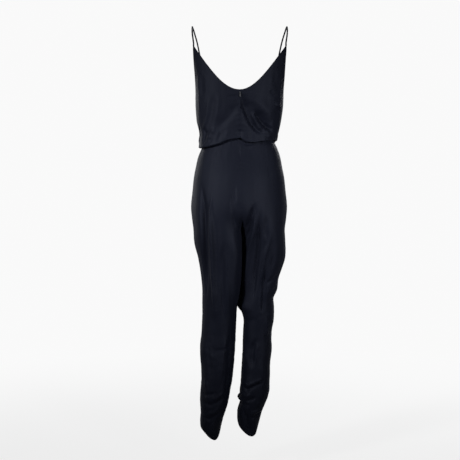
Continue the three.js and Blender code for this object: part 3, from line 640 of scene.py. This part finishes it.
TROUSER_FRONT = [
    crease([(106, -560), (86, -600), (62, -646), (40, -706), (30, -800)], 12, -1.8, 0.2),
    crease([(-96, -588), (-74, -630), (-56, -690), (-46, -790)], 12, -1.6, -0.2),
    crease([(70, -560), (50, -606), (30, -650), (14, -684)], 9, 1.2),
    crease([(-62, -590), (-40, -634), (-22, -676)], 9, 1.0),
    crease([(44, -640), (28, -664), (10, -692)], 6, -1.3),
    crease([(-36, -652), (-22, -672), (-8, -694)], 6, -1.2),
    crease([(84, -690), (82, -780), (80, -870), (76, -965)], 9, 3.0, 0.2),
    crease([(-88, -700), (-84, -790), (-78, -880), (-70, -955)], 9, 3.0, -0.2),
    crease([(60, -720), (62, -800), (58, -900)], 7, -2.2),
    crease([(-62, -730), (-62, -810), (-56, -900)], 7, -2.4),
    crease([(112, -640), (110, -720), (112, -820)], 8, -2.4),
    crease([(-114, -640), (-114, -730), (-108, -820)], 8, -2.2),
    crease([(122, -962), (100, -984), (66, -990), (30, -976)], 6, -2.2),
    crease([(34, -1036), (66, -1060), (100, -1066), (124, -1050)], 6.5, -3.0, 0.2),
    crease([(36, -1020), (70, -1044), (104, -1048)], 6, 2.0),
    crease([(44, -1082), (74, -1098), (108, -1096)], 6, -2.0),
    crease([(-26, -1046), (-54, -1070), (-92, -1076), (-114, -1060)], 6.5, -3.0, 0.2),
    crease([(-24, -1030), (-56, -1054), (-92, -1058)], 6, 2.0),
    crease([(-30, -1092), (-58, -1106), (-90, -1104)], 6, -2.0),
    crease([(96, -1110), (92, -1170), (88, -1240)], 8, 2.0),
    crease([(-66, -1110), (-60, -1170), (-52, -1230)], 8, 2.0),
    crease([(48, -1256), (76, -1276), (104, -1284), (130, -1276)], 6, -3.0, 0.2),
    crease([(50, -1240), (80, -1260), (108, -1266)], 6, 2.2),
    crease([(66, -1300), (92, -1312), (126, -1306)], 5.5, -2.2),
    crease([(4, -1250), (-22, -1268), (-52, -1276), (-84, -1262)], 6, -3.0, 0.2),
    crease([(2, -1236), (-26, -1254), (-58, -1258)], 6, 2.2),
    crease([(-2, -1296), (-28, -1308), (-62, -1302)], 5.5, -2.2),
]

# Smooth random height, and puckers along seams

TABLE_SIDE = 32


def noise(points, cell, seed):
    """Smooth noise from -1 to 1 in space. cell is its grain along x, y and z in millimetres."""
    table = np.random.default_rng(seed).uniform(-1, 1, (TABLE_SIDE,) * 3)
    place = points / np.array(cell, float) + 101.3
    base = np.floor(place).astype(int)
    share = smooth(place - base)
    total = np.zeros(points.shape[:-1])
    for corner in np.ndindex(2, 2, 2):
        spot = (base + corner) % TABLE_SIDE
        weight = np.prod(np.where(corner, share, 1 - share), axis=-1)
        total += weight * table[spot[..., 0], spot[..., 1], spot[..., 2]]
    return total


def puckers(points, distance, reach, pitch, high, seed):
    """Short ripples that start at a seam and die away within reach."""
    wander = noise(points * (0, 0, 1), (1, 1, 31), seed) * 2.4
    strength = 0.65 + 0.35 * noise(points * (0, 0, 1), (1, 1, 23), seed + 1)
    phase = 2 * math.pi * points[..., 2] / pitch + wander + distance * 0.13
    return high * strength * np.sin(phase) * np.exp(-distance / reach)


def seam_profile(distance, groove=0.3, allowance=0.25):
    """A narrow valley at the seam between the low steps of its pressed allowances."""
    step = allowance * (1 - smooth((distance - 7) / 3))
    return step - groove * np.exp(-(distance / 1.5) ** 2)


def cloth_ripples(points):
    """Weak long bands and small crumples over all the cloth."""
    bands = 0.75 * noise(points, (23, 23, 210), 11) + 0.4 * noise(points, (11, 11, 120), 12)
    crumples = 0.3 * noise(points, (17, 17, 26), 13) + 0.14 * noise(points, (8, 8, 11), 14)
    return bands + crumples


# Lines and grids of points. A grid holds one panel's outer points, columns by rows.

def run_along(line):
    return np.concatenate(([0], np.cumsum(np.linalg.norm(np.diff(line, axis=0), axis=1))))


def between(at, run, line):
    """The line's place at a length along it, or its places at several lengths."""
    return np.stack([np.interp(at, run, line[:, k]) for k in range(3)], -1)


def run_across(points):
    steps = np.linalg.norm(np.diff(points, axis=0), axis=-1)
    return np.concatenate((np.zeros((1, points.shape[1])), np.cumsum(steps, 0)))


def run_down(points):
    return run_across(points.swapaxes(0, 1)).swapaxes(0, 1)


def unrolled(points, first, last):
    """x of each point, but measured along the cloth before column first and after last."""
    x = points[..., 0].copy()
    run = run_across(points)
    out_low = np.sign(x[0].mean() - x[len(x) // 2].mean())
    out_high = np.sign(x[-1].mean() - x[len(x) // 2].mean())
    x[:first] = x[first] + out_low * (run[first] - run[:first])
    x[last + 1:] = x[last] + out_high * (run[last + 1:] - run[last])
    return x


def grid_normals(points, flip):
    across = np.gradient(points, axis=0)
    down = np.gradient(points, axis=1)
    normal = np.cross(across, down)
    normal /= np.linalg.norm(normal, axis=-1, keepdims=True) + TINY
    return -normal if flip else normal


# Cloth meshes

TURN_IN = (0.45, 1.5, 3.0)
RIM_SHARE = 0.45


def turned_in(points, normals, uv):
    """The grid with allowances that turn into the garment along its first and last column."""
    first = [points[0] - depth * normals[0] for depth in reversed(TURN_IN)]
    last = [points[-1] - depth * normals[-1] for depth in TURN_IN]
    turns = len(TURN_IN)
    uv = np.concatenate((np.repeat(uv[:1], turns, 0), uv, np.repeat(uv[-1:], turns, 0)))
    return np.concatenate((first, points, last)), uv


def make_mesh(name, vertices, faces, uv=None):
    mesh = bpy.data.meshes.new(name)
    mesh.from_pydata(vertices.tolist(), [], faces)
    mesh.polygons.foreach_set("use_smooth", np.ones(len(mesh.polygons), bool))
    if uv is not None:
        layer = mesh.uv_layers.new(name="cloth_uv")
        corners = np.empty(len(mesh.loops), int)
        mesh.loops.foreach_get("vertex_index", corners)
        layer.data.foreach_set("uv", uv[corners].reshape(-1))
    mesh.update()
    obj = bpy.data.objects.new(name, mesh)
    bpy.context.collection.objects.link(obj)
    return obj


def shell_mesh(name, points, uv, thick, flip, sharp=()):
    """A closed thin wall: outer grid, inner grid, and a rounded rim all round.

    sharp names the outer columns along which the cloth is folded hard.
    """
    columns, rows = points.shape[:2]
    normals = grid_normals(points, flip)
    inner = points - normals * thick[..., None]
    index = np.arange(columns * rows).reshape(columns, rows)
    loop = np.concatenate((index[:-1, 0], index[-1, :-1], index[:0:-1, -1], index[0, :0:-1]))
    flat_outer, flat_inner = points.reshape(-1, 3), inner.reshape(-1, 3)
    inward = np.concatenate((index[:-1, 1], index[-2, :-1], index[:0:-1, -2], index[1, :0:-1]))
    middle = (flat_outer[loop] + flat_inner[loop]) / 2
    out = flat_outer[loop] - flat_outer[inward]
    out /= np.linalg.norm(out, axis=-1, keepdims=True) + TINY
    rim = middle + out * thick.reshape(-1)[loop][:, None] * RIM_SHARE
    count = columns * rows
    corners = index[:-1, :-1], index[1:, :-1], index[1:, 1:], index[:-1, 1:]
    quads = np.stack(corners, -1).reshape(-1, 4)
    after = np.roll(loop, -1)
    rim_at = 2 * count + np.arange(len(loop))
    rim_after = np.roll(rim_at, -1)
    upper = np.stack((loop, rim_at, rim_after, after), -1)
    lower = np.stack((rim_at, loop + count, after + count, rim_after), -1)
    faces = np.concatenate((quads, quads[:, ::-1] + count, upper, lower))
    if flip:
        faces = faces[:, ::-1]
    vertices = np.concatenate((flat_outer, flat_inner, rim)) * MM
    flat_uv = uv.reshape(-1, 2)
    all_uv = np.concatenate((flat_uv, flat_uv, flat_uv[loop])) * MM
    obj = make_mesh(name, vertices, faces.tolist(), all_uv)
    ends = np.empty(len(obj.data.edges) * 2, int)
    obj.data.edges.foreach_get("vertices", ends)
    first, second = ends.reshape(-1, 2).T
    outside = (first < count) & (second < count)
    hard = outside & (first // rows == second // rows) & np.isin(first // rows, sharp)
    obj.data.attributes.new("sharp_edge", "BOOLEAN", "EDGE").data.foreach_set("value", hard)
    return obj


# Materials

NAVY = (0.0050, 0.0060, 0.0118, 1)
TAPE_NAVY = (0.007, 0.0078, 0.012, 1)
THREAD_NAVY = (0.010, 0.011, 0.017, 1)
PULL_GREY = (0.065, 0.067, 0.075, 1)
CREPE_SHINE = {
    "Specular_IOR_Level": 0.15, "Specular_Tint": (0.74, 0.8, 1, 1),
    "Sheen_Weight": 0.045, "Sheen_Roughness": 0.4, "Sheen_Tint": (0.66, 0.7, 1, 1),
}
CREPE_BUMP = {"Strength": 0.5, "Distance": 0.0002}

# How often the crepe's patterns repeat in a metre, across and down the cloth
GRAIN_COUNTS = (1500, 1100, 1)
YARN_COUNTS = (420, 420, 1)
SLUB_COUNTS = (38, 9, 1)


def new_group(name, inputs, outputs):
    group = bpy.data.node_groups.new(name, "ShaderNodeTree")
    for label, kind in inputs:
        group.interface.new_socket(name=label, in_out="INPUT", socket_type=kind)
    for label, kind in outputs:
        group.interface.new_socket(name=label, in_out="OUTPUT", socket_type=kind)
    return group, group.nodes.new("NodeGroupInput"), group.nodes.new("NodeGroupOutput")


def math_node(tree, operation, first, second):
    node = add_node(tree, "Math")
    node.operation = operation
    for socket, value in zip(node.inputs, (first, second)):
        if isinstance(value, (int, float)):
            socket.default_value = value
        else:
            tree.links.new(value, socket)
    return node.outputs[0]


def off_middle(tree, value, gain):
    """How far a pattern's value lies from its middle, times a gain."""
    return math_node(tree, "MULTIPLY", math_node(tree, "SUBTRACT", value, 0.5), gain)


def crepe_group():
    """Pebbled crepe: crossing yarns broken up by a fine grain. Place is in metres."""
    group, given, result = new_group(
        "crepe_weave",
        [("Place", "NodeSocketVector"), ("Grain", "NodeSocketFloat")],
        [("Height", "NodeSocketFloat"), ("Tone", "NodeSocketFloat")])
    grain = add_node(group, "TexNoise", Scale=1, Detail=2)
    yarn = add_node(group, "TexWave", Scale=1, Distortion=3.5, Detail=1)
    yarn.wave_type = "BANDS"
    yarn.bands_direction = "Y"
    slub = add_node(group, "TexNoise", Scale=1, Detail=3)
    for pattern, counts in ((grain, GRAIN_COUNTS), (yarn, YARN_COUNTS), (slub, SLUB_COUNTS)):
        scaled = add_node(group, "VectorMath")
        scaled.operation = "MULTIPLY"
        scaled.inputs[1].default_value = counts
        group.links.new(given.outputs["Place"], scaled.inputs[0])
        group.links.new(scaled.outputs[0], pattern.inputs["Vector"])
    pebble = math_node(group, "MULTIPLY", grain.outputs["Fac"], given.outputs["Grain"])
    threads = math_node(group, "MULTIPLY", yarn.outputs["Fac"], 0.35)
    group.links.new(math_node(group, "ADD", pebble, threads), result.inputs["Height"])
    tone = off_middle(group, slub.outputs["Fac"], 0.22)
    shade = off_middle(group, grain.outputs["Fac"], 0.3)
    both = math_node(group, "ADD", tone, shade)
    group.links.new(math_node(group, "ADD", both, 1), result.inputs["Tone"])
    return group


def crepe_material(name, weave):
    material, shader = new_material(name, NAVY, 0.6, **CREPE_SHINE)
    tree = material.node_tree
    place = add_node(tree, "UVMap")
    place.uv_map = "cloth_uv"
    pattern = add_node(tree, "Group")
    pattern.node_tree = weave
    pattern.inputs["Grain"].default_value = 1
    tint = add_node(tree, "VectorMath")
    tint.operation = "SCALE"
    tint.inputs[0].default_value = NAVY[:3]
    relief = add_node(tree, "Bump", **CREPE_BUMP)
    tree.links.new(place.outputs["UV"], pattern.inputs["Place"])
    tree.links.new(pattern.outputs["Tone"], tint.inputs["Scale"])
    tree.links.new(tint.outputs[0], shader.inputs["Base Color"])
    tree.links.new(pattern.outputs["Height"], relief.inputs["Height"])
    tree.links.new(relief.outputs["Normal"], shader.inputs["Normal"])
    return material


CREPE_WEAVE = crepe_group()
CREPE = crepe_material("navy_crepe", CREPE_WEAVE)
ROULEAU = crepe_material("navy_rouleau", CREPE_WEAVE)
TAPE = new_material("navy_zip_tape", TAPE_NAVY, 0.7, Specular_IOR_Level=0.2)[0]
THREAD = new_material("navy_thread", THREAD_NAVY, 0.5, Specular_IOR_Level=0.3)[0]
PULL = new_material("zip_metal", PULL_GREY, 0.34, Metallic=0.25)[0]


def finish_piece(obj, material, body, slot, *nodes):
    obj.data.materials.clear()
    obj.data.materials.append(material)
    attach(obj, body)
    if nodes:
        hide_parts(*nodes)


# Cloth panels, each kept with its outer points and their normals

THICK = 0.8
SEAM_LAP = 0.3


def sew_panel(name, dressed, thick, flip):
    """The panel's cloth with its side seams turned in, in place of its node."""
    normals = grid_normals(dressed, flip)
    uv = np.stack((run_across(dressed), run_down(dressed)), -1)
    grown, uv = turned_in(dressed, normals, uv)
    turns = len(TURN_IN)
    thick = np.pad(thick, ((turns, turns), (0, 0)), mode="edge")
    folded = turns, len(grown) - 1 - turns
    obj = shell_mesh(name + "_cloth", grown, uv, thick, flip, folded)
    finish_piece(obj, CREPE, "garment", "navy_crepe", name)
    return obj, dressed, normals


# Bodice panels

TOP_BAND = 8
BODICE_COLUMNS = np.linspace(0, 1, 66)
SIDE_ANCHOR = 44
FALL_ROWS = 92
BODICE_ROWS = np.concatenate((
    np.linspace(0, 1, FALL_ROWS), np.linspace(1, 2, 11)[1:], np.linspace(2, 3, 8)[1:]))


def bodice_base(part, side):
    """Outer points of half the front or one back piece, from the centre to the side seam."""
    share = BODICE_COLUMNS[:, None]
    column = share * COLUMNS + 0 * BODICE_ROWS[None]
    return bodice_points(part, side, column, BODICE_ROWS[None] + 0 * share)


def bodice_dress(points, normals, creases, seam=None):
    """Adds the height of folds, ripples and edges. seam is the distance from the centre back."""
    v = BODICE_ROWS[None]
    z = points[..., 2]
    height = all_creases(creases, np.where(v > 1, z[:, FALL_ROWS - 1:FALL_ROWS], z))
    ripple = noise(points, (13, 13, 90), 21) + 0.5 * noise(points, (7, 7, 50), 22)
    low = smooth((v - 0.62) / 0.3)
    height += 1.0 * ripple * low + 0.75 * cloth_ripples(points)
    calm = 1 - smooth((v - 1.5) / 0.9)
    top = run_down(points)
    edge = smooth((top - 2) / 16)
    height *= (0.25 + 0.75 * edge) * calm
    if seam is not None:
        height += (seam_profile(seam, 0.35) + puckers(points, seam, 15, 17, 0.6, 31)) * calm
    past = top - TOP_BAND
    band = 0.35 * (1 - smooth(past / 1.2)) - 0.3 * np.exp(-(past / 1.1) ** 2)
    roll = -0.5 * np.exp(-(top / 1.6) ** 2)
    height += (band + roll) * calm
    thick = THICK + 0.7 * (1 - smooth(past / 1.5))
    return points + normals * height[..., None], thick


def make_bodice():
    backs = {side: bodice_base("back", side) for side, _ in SIDES}
    halves = {side: bodice_base("front", side) for side, _ in SIDES}
    back_x = {side: unrolled(backs[side], 0, SIDE_ANCHOR) for side, _ in SIDES}
    front = np.concatenate((halves[1][::-1], halves[-1][1:]))
    middle = len(front) // 2
    front_x = unrolled(front, middle - SIDE_ANCHOR, middle + SIDE_ANCHOR)
    front_run = run_across(front)
    from_left = back_x[1][-1] + front_run
    from_right = back_x[-1][-1] - (front_run[-1] - front_run)
    front_far = np.where(np.arange(len(front))[:, None] <= middle, from_left, from_right)
    creases = (BODICE_FRONT, front_x), (BODICE_BACK, front_far)
    dressed, thick = bodice_dress(front, grid_normals(front, False), creases)
    panels = {"bodice_front": sew_panel("bodice_front", dressed, thick, False)}
    for side, name in SIDES:
        points = backs[side]
        flip = side < 0
        run = run_across(points)
        seam_x = front_x[0] if side > 0 else front_x[-1]
        far = seam_x + side * (run[-1] - run)
        creases = (BODICE_BACK, back_x[side]), (BODICE_FRONT, far)
        dressed, thick = bodice_dress(points, grid_normals(points, flip), creases, run)
        dressed[0, :, 0] = points[0, :, 0] - side * SEAM_LAP
        label = f"bodice_back_{name}"
        panels[label] = sew_panel(label, dressed, thick, flip)
    return panels


# Trouser panels

HEM_BAND = 22
STITCH_ROWS = (6.0, 9.0)
CROTCH_LAP = 0.4
FOLD_GAIN = 1.8
SEAT_SPREAD = (40, 0.11)
SEAM_DIP = 7
SEAM_DIP_Z = -592
TROUSER_CREASES = {"back": TROUSER_BACK, "front": TROUSER_FRONT}
TROUSER_COLUMNS = np.linspace(0, 1, 96)
SIDE_COLUMNS = 24
TROUSER_ROWS = np.concatenate((
    np.linspace(-WAIST_Z, -CROTCH_START_Z, 72),
    -CROTCH_START_Z + (CROTCH_START_Z - CROTCH_Z) * np.sin(np.linspace(0, QUARTER, 13)[1:]),
    np.linspace(-CROTCH_Z, HEM_START, 158)[1:],
    np.linspace(HEM_START, HEM_END, 47)[1:]))


def spread_weights(key, spread):
    weight = np.exp(-((key[:, None] - key[None]) / spread) ** 2) * np.gradient(key)[None]
    return weight / weight.sum(1, keepdims=True)


def evened(points):
    """The grid with the seat smoothed both ways, but not at its seams or its height."""
    down = spread_weights(TROUSER_ROWS, SEAT_SPREAD[0])
    across = spread_weights(TROUSER_COLUMNS, SEAT_SPREAD[1])
    even = np.einsum("jk,ikc->ijc", down, points)
    even = np.einsum("hi,ijc->hjc", across, even)
    even[..., 2] = points[..., 2]
    ends = smooth((TROUSER_ROWS - 500) / 90) * smooth((930 - TROUSER_ROWS) / 90)
    inner = smooth(TROUSER_COLUMNS / 0.22) * (1 - smooth((TROUSER_COLUMNS - 0.9) / 0.1))
    return mix(points, even, (ends[None] * inner[:, None])[..., None])


def trouser_base(part, side):
    u = TROUSER_COLUMNS[:, None] + 0 * TROUSER_ROWS[None]
    return evened(trouser_points(part, side, u, TROUSER_ROWS[None] + 0 * u))


def trouser_dress(points, normals, creases, part, side):
    """Adds the height of folds, gathers, puckers, seams and the hem."""
    v = TROUSER_ROWS[None]
    z = points[..., 2]
    run = run_across(points)
    from_inside = run[-1] - run
    leg = smooth((CROTCH_Z - z) / 20)
    height = FOLD_GAIN * all_creases(creases, z) * mix(1, smooth(from_inside / 16), leg)
    gathers = noise(points, (9, 9, 120), 41) + 0.5 * noise(points, (5.5, 5.5, 70), 42)
    height += 1.1 * gathers * np.exp(-(v + WAIST_Z) / 62)
    height += cloth_ripples(points) * mix(0.4, 1, smooth((v - 560) / 160))
    if part == "back":
        zip_fade = smooth((z - ZIP_END_Z + 30) / 60)
        height += puckers(points, from_inside, 10, 13, 0.45, 51) * zip_fade * (z > CROTCH_Z)
    height += puckers(points, from_inside, 9, 15, 0.3, 53)
    height += puckers(points, run, 9, 16, 0.3, 55)
    slack = noise(points, (34, 34, 19), 61) + 0.5 * noise(points, (18, 18, 10), 62)
    height += 0.85 * slack * smooth((v - 960) / 200)
    height *= smooth((v + WAIST_Z - 3) / 22)
    height += seam_profile(from_inside, 0.12, 0.12) + seam_profile(run)
    if part == "back":
        dip = np.exp(-(from_inside / 11) ** 2)
        height -= SEAM_DIP * dip * smooth((SEAM_DIP_Z - z) / 70)
    fork = smooth((TROUSER_COLUMNS[:, None] - 0.8) / 0.12) * np.exp(-((v - 704) / 26) ** 4)
    height = mix(height, CROTCH_LAP, fork)
    up = run_down(points)
    hem = up[:, -1:] - up
    height *= 0.35 + 0.65 * smooth((hem - 1) / 26)
    band = 1 - smooth((hem - HEM_BAND) / 1.5)
    height += 0.4 * band - 0.5 * np.exp(-(hem / 1.6) ** 2)
    height -= 0.22 * sum(np.exp(-((hem - row) / 0.9) ** 2) for row in STITCH_ROWS)
    dressed = points + normals * height[..., None]
    centre = z[-1] > CROTCH_Z - 10
    dressed[-1, centre, 0] = points[-1, centre, 0] - side * SEAM_LAP
    return dressed, THICK + 0.8 * band


def make_trousers():
    panels = {}
    for side, name in SIDES:
        base = {part: trouser_base(part, side) for part in ("back", "front")}
        near = {part: unrolled(points, SIDE_COLUMNS, len(points) - 1)
                for part, points in base.items()}
        for part, partner in (("back", "front"), ("front", "back")):
            points = base[part]
            flip = (side > 0) == (part == "back")
            far = near[partner][0] + side * run_across(points)
            creases = (TROUSER_CREASES[part], near[part]), (TROUSER_CREASES[partner], far)
            normals = grid_normals(points, flip)
            dressed, thick = trouser_dress(points, normals, creases, part, side)
            label = f"trouser_{part}_{name}"
            panels[label] = sew_panel(label, dressed, thick, flip)
    return panels


# Straps: rolled tubes from the back tips over the shoulders to the front tips

STRAP_RADIUS = 2.7
STRAP_SIDES = 18
STRAP_STEPS = 150
STRAP_RISE = 9
STRAP_SEAT = 0.4
STRAP_TAIL = 11
STRAP_TUCK = 2.6
STRAP_ROUTE = (
    (160, 50, -28), (161, 27, -4), (161, 0, STRAP_RADIUS), (157, -30, -8), (147, -60, -42))


def smooth_curve(spots, steps):
    """Even points along a centripetal curve through the spots."""
    spots = np.array(spots, float)
    spots = np.concatenate((2 * spots[:1] - spots[1:2], spots, 2 * spots[-1:] - spots[-2:-1]))
    places = []
    for k in range(1, len(spots) - 2):
        p0, p1, p2, p3 = spots[k - 1:k + 3]
        d0, d1, d2 = (np.linalg.norm(b - a) ** 0.5 for a, b in ((p0, p1), (p1, p2), (p2, p3)))
        t1 = ((p1 - p0) / d0 - (p2 - p0) / (d0 + d1) + (p2 - p1) / d1) * d1
        t2 = ((p2 - p1) / d1 - (p3 - p1) / (d1 + d2) + (p3 - p2) / d2) * d1
        t = np.linspace(0, 1, 40, endpoint=False)[:, None]
        places.append(p1 + t1 * t + (3 * (p2 - p1) - 2 * t1 - t2) * t ** 2
                      + (2 * (p1 - p2) + t1 + t2) * t ** 3)
    places = np.concatenate(places + [spots[-2:-1]])
    run = run_along(places)
    even = np.linspace(0, run[-1], steps)
    return between(even, run, places), even


def outward(place):
    """The level direction from the garment's axis to a place."""
    return np.array((place[0], place[1], 0)) / np.hypot(*place[:2])


def tip_middle(part, side):
    """The middle of the strap tip's top edge, in the middle of the cloth."""
    tips = np.array([[TIP_COLUMN], [TIP_COLUMN + 1]], float)
    middle = bodice_points(part, side, tips, np.zeros((2, 1)))[:, 0].mean(0)
    return middle - outward(middle) * 0.6


def tube_mesh(name, path, run, radius, sides):
    """A tube round the path; radius(angle, run) may differ round it and along it."""
    tangent = np.gradient(path, axis=0)
    tangent /= np.linalg.norm(tangent, axis=1, keepdims=True)
    across = np.cross(tangent, (0.0, 0.35, 1.0))
    for k in range(1, len(across)):
        across[k] = across[k - 1] - tangent[k] * np.dot(across[k - 1], tangent[k])
        across[k] /= np.linalg.norm(across[k])
    other = np.cross(tangent, across)
    angle = np.linspace(0, 2 * math.pi, sides, endpoint=False)
    size = radius(angle[None], run[:, None])[..., None]
    rings = path[:, None] + size * (np.cos(angle)[None, :, None] * across[:, None]
                                    + np.sin(angle)[None, :, None] * other[:, None])
    index = np.arange(len(path) * sides).reshape(len(path), sides)
    after = np.roll(index, -1, axis=1)
    quads = np.stack((index[:-1], after[:-1], after[1:], index[1:]), -1).reshape(-1, 4)
    faces = quads.tolist() + [index[0, ::-1].tolist(), index[-1].tolist()]
    round_it, down_it = np.broadcast_arrays(angle[None] * STRAP_RADIUS, run[:, None])
    uv = np.stack((round_it, down_it), -1).reshape(-1, 2)
    return make_mesh(name, rings.reshape(-1, 3) * MM, faces, uv * MM)


def strap_radius(angle, run):
    """Rolled cloth: slightly uneven, with its seam in a shallow groove that winds slowly."""
    turn = np.mod(angle - run / 90 + math.pi, 2 * math.pi) - math.pi
    groove = 0.32 * np.exp(-(turn / 0.22) ** 2)
    wrinkle = 0.06 * np.sin(run * 0.9 + 2 * angle) + 0.05 * np.sin(run * 0.37 + 1.3)
    return STRAP_RADIUS - groove + wrinkle - 0.05


def make_straps():
    rise, seat = np.array((0, 0, STRAP_RISE)), np.array((0, 0, STRAP_SEAT))
    drop = np.array((0, 0, STRAP_TAIL))
    for side, name in SIDES:
        start, end = tip_middle("back", side) + seat, tip_middle("front", side) + seat
        over = [np.array((side * x, y, z)) for x, y, z in STRAP_ROUTE]
        spots = [start, start + rise, *over, end + rise, end]
        path, run = smooth_curve(spots, STRAP_STEPS)
        tails = [tip - outward(tip) * STRAP_TUCK - drop for tip in (start, end)]
        path = np.concatenate((tails[:1], path, tails[1:]))
        run = np.concatenate(([-STRAP_TAIL], run, [run[-1] + STRAP_TAIL]))
        strap = tube_mesh(f"strap_{name}_rolled", path, run, strap_radius, STRAP_SIDES)
        finish_piece(strap, ROULEAU, "garment", "navy_rouleau", f"strap_{name}")


# Hem stitching: two rows of small raised stitches

STITCH_START = 0.6
STITCH_LONG = 2.3
STITCH_PITCH = 3.0
STITCH_RADIUS = 0.26
STITCH_LIFT = 0.05
CAPSULE_RINGS = ((0.14, 0.8), (0.5, 1.0), (0.86, 0.8))


def capsule(start, end, radius, out):
    """Vertices and faces of one short round bar from start to end, with pointed ends."""
    along = end - start
    along = along / np.linalg.norm(along)
    side = np.cross(out, along)
    vertices, faces = [], []
    for share, wide in CAPSULE_RINGS:
        middle = mix(start, end, share)
        for turn in range(6):
            angle = turn * math.pi / 3
            ring = math.cos(angle) * side + math.sin(angle) * out
            vertices.append(middle + ring * radius * wide)
    vertices += [start, end]
    for turn in range(6):
        after = (turn + 1) % 6
        faces += [(turn, after, 6 + after, 6 + turn),
                  (6 + turn, 6 + after, 12 + after, 12 + turn),
                  (18, after, turn), (12 + turn, 12 + after, 19)]
    return vertices, faces


def capsules_mesh(name, capsules):
    vertices, faces = [], []
    for spots, rings in capsules:
        first = len(vertices)
        vertices += spots
        faces += [tuple(first + k for k in ring) for ring in rings]
    return make_mesh(name, np.array(vertices) * MM, faces)


def hem_stitches(name, panels):
    stitches = []
    for _, points, normals in panels:
        up = run_down(points)
        hem = up[:, -1:] - up
        for row in STITCH_ROWS:
            line, outs = (np.array([between(-row, -hem[i], grid[i]) for i in range(len(grid))])
                          for grid in (points, normals))
            run = run_along(line)
            for begin in np.arange(STITCH_START, run[-1] - STITCH_LONG, STITCH_PITCH):
                out = between(begin, run, outs)
                out /= np.linalg.norm(out)
                ends = between(np.array((begin, begin + STITCH_LONG)), run, line)
                stitches.append(capsule(*(ends + out * STITCH_LIFT), STITCH_RADIUS, out))
    finish_piece(capsules_mesh(name, stitches), THREAD, "garment", "navy_crepe")


# Zip: its tapes and coil behind the centre-back seam, and the bevelled slider and pull

TAPE_TOP_Z = -238
TAPE_BEND_Z = -352
TAPE_WAIST_Z = -380
TAPE_ACROSS = np.array((0.3, 1.2, 3, 5, 7.5, 9.2, 10.2, 11))
BODICE_REACH = 12
TROUSER_REACH = 14
TAPE_THICK = 0.55
TAPE_DEEP = 1.8
COIL_PITCH = 1.3
COIL_BAR = np.array((1.7, 0, 0.12))
COIL_RADIUS = 0.42
COIL_BEHIND = np.array((0, 1.1, 0))
SLIDER_BEVEL = 0.00018
PULL_BEVEL = 0.00016


def zip_side(bodice, trousers):
    """Points of one tape behind its cloth, across by down."""
    strips = []
    runs = (bodice, TAPE_TOP_Z, TAPE_BEND_Z), (trousers, TAPE_WAIST_Z, ZIP_END_Z)
    for (points, normals), top, low in runs:
        run = run_across(points)
        for j in np.flatnonzero((points[0, :, 2] < top) & (points[0, :, 2] > low)):
            behind = points[:, j] - normals[:, j] * TAPE_DEEP
            strips.append(between(TAPE_ACROSS, run[:, j], behind))
    return np.array(strips).swapaxes(0, 1)


def make_zip(panels):
    """Both tapes, and the coil's small cross bars just inside them."""
    inner_edges = []
    for side, name in SIDES:
        bodice = panels[f"bodice_back_{name}"][1:]
        trousers = panels[f"trouser_back_{name}"][1:]
        grid = zip_side([cloth[:BODICE_REACH, :FALL_ROWS] for cloth in bodice],
                        [cloth[::-1][:TROUSER_REACH] for cloth in trousers])
        inner_edges.append(grid[0])
        uv = np.stack((run_across(grid), run_down(grid)), -1)
        thick = np.full(grid.shape[:2], TAPE_THICK)
        obj = shell_mesh(f"zip_tape_{name}_woven", grid, uv, thick, side < 0)
        finish_piece(obj, TAPE, "garment", "navy_zip_tape", f"zip_tape_{name}")
    spots = (inner_edges[0] + inner_edges[1]) / 2
    run = run_along(spots)
    back = np.array((0, 1.0, 0))
    bars = []
    for at in np.arange(0, run[-1], COIL_PITCH):
        middle = between(at, run, spots) - COIL_BEHIND
        bars.append(capsule(middle - COIL_BAR, middle + COIL_BAR, COIL_RADIUS, back))
    finish_piece(capsules_mesh("zip_coil", bars), TAPE, "garment", "navy_zip_tape")


def bevelled_copy(node_name, body, width):
    """The node's own shape with its edges rounded."""
    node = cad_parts[node_name]
    obj = bpy.data.objects.new(node_name + "_finished", node.data.copy())
    bpy.context.collection.objects.link(obj)
    obj.matrix_world = node.matrix_world.copy()
    bevel = obj.modifiers.new("bevel", "BEVEL")
    bevel.width = width
    bevel.segments = 2
    bevel.limit_method = "ANGLE"
    bevel.angle_limit = math.radians(35)
    bpy.context.view_layer.update()
    whole = obj.evaluated_get(bpy.context.evaluated_depsgraph_get())
    rounded = bpy.data.meshes.new_from_object(whole)
    obj.modifiers.clear()
    obj.data = rounded
    rounded.polygons.foreach_set("use_smooth", np.ones(len(rounded.polygons), bool))
    finish_piece(obj, PULL, body, "zip_metal", node_name)


panels = {**make_bodice(), **make_trousers()}
make_straps()
for _, name in SIDES:
    legs = [panels[f"trouser_{part}_{name}"] for part in ("back", "front")]
    hem_stitches(f"hem_stitches_{name}", legs)
make_zip(panels)
bevelled_copy("zip_slider", "garment", SLIDER_BEVEL)
bevelled_copy("zip_pull", "pull_tab", PULL_BEVEL)
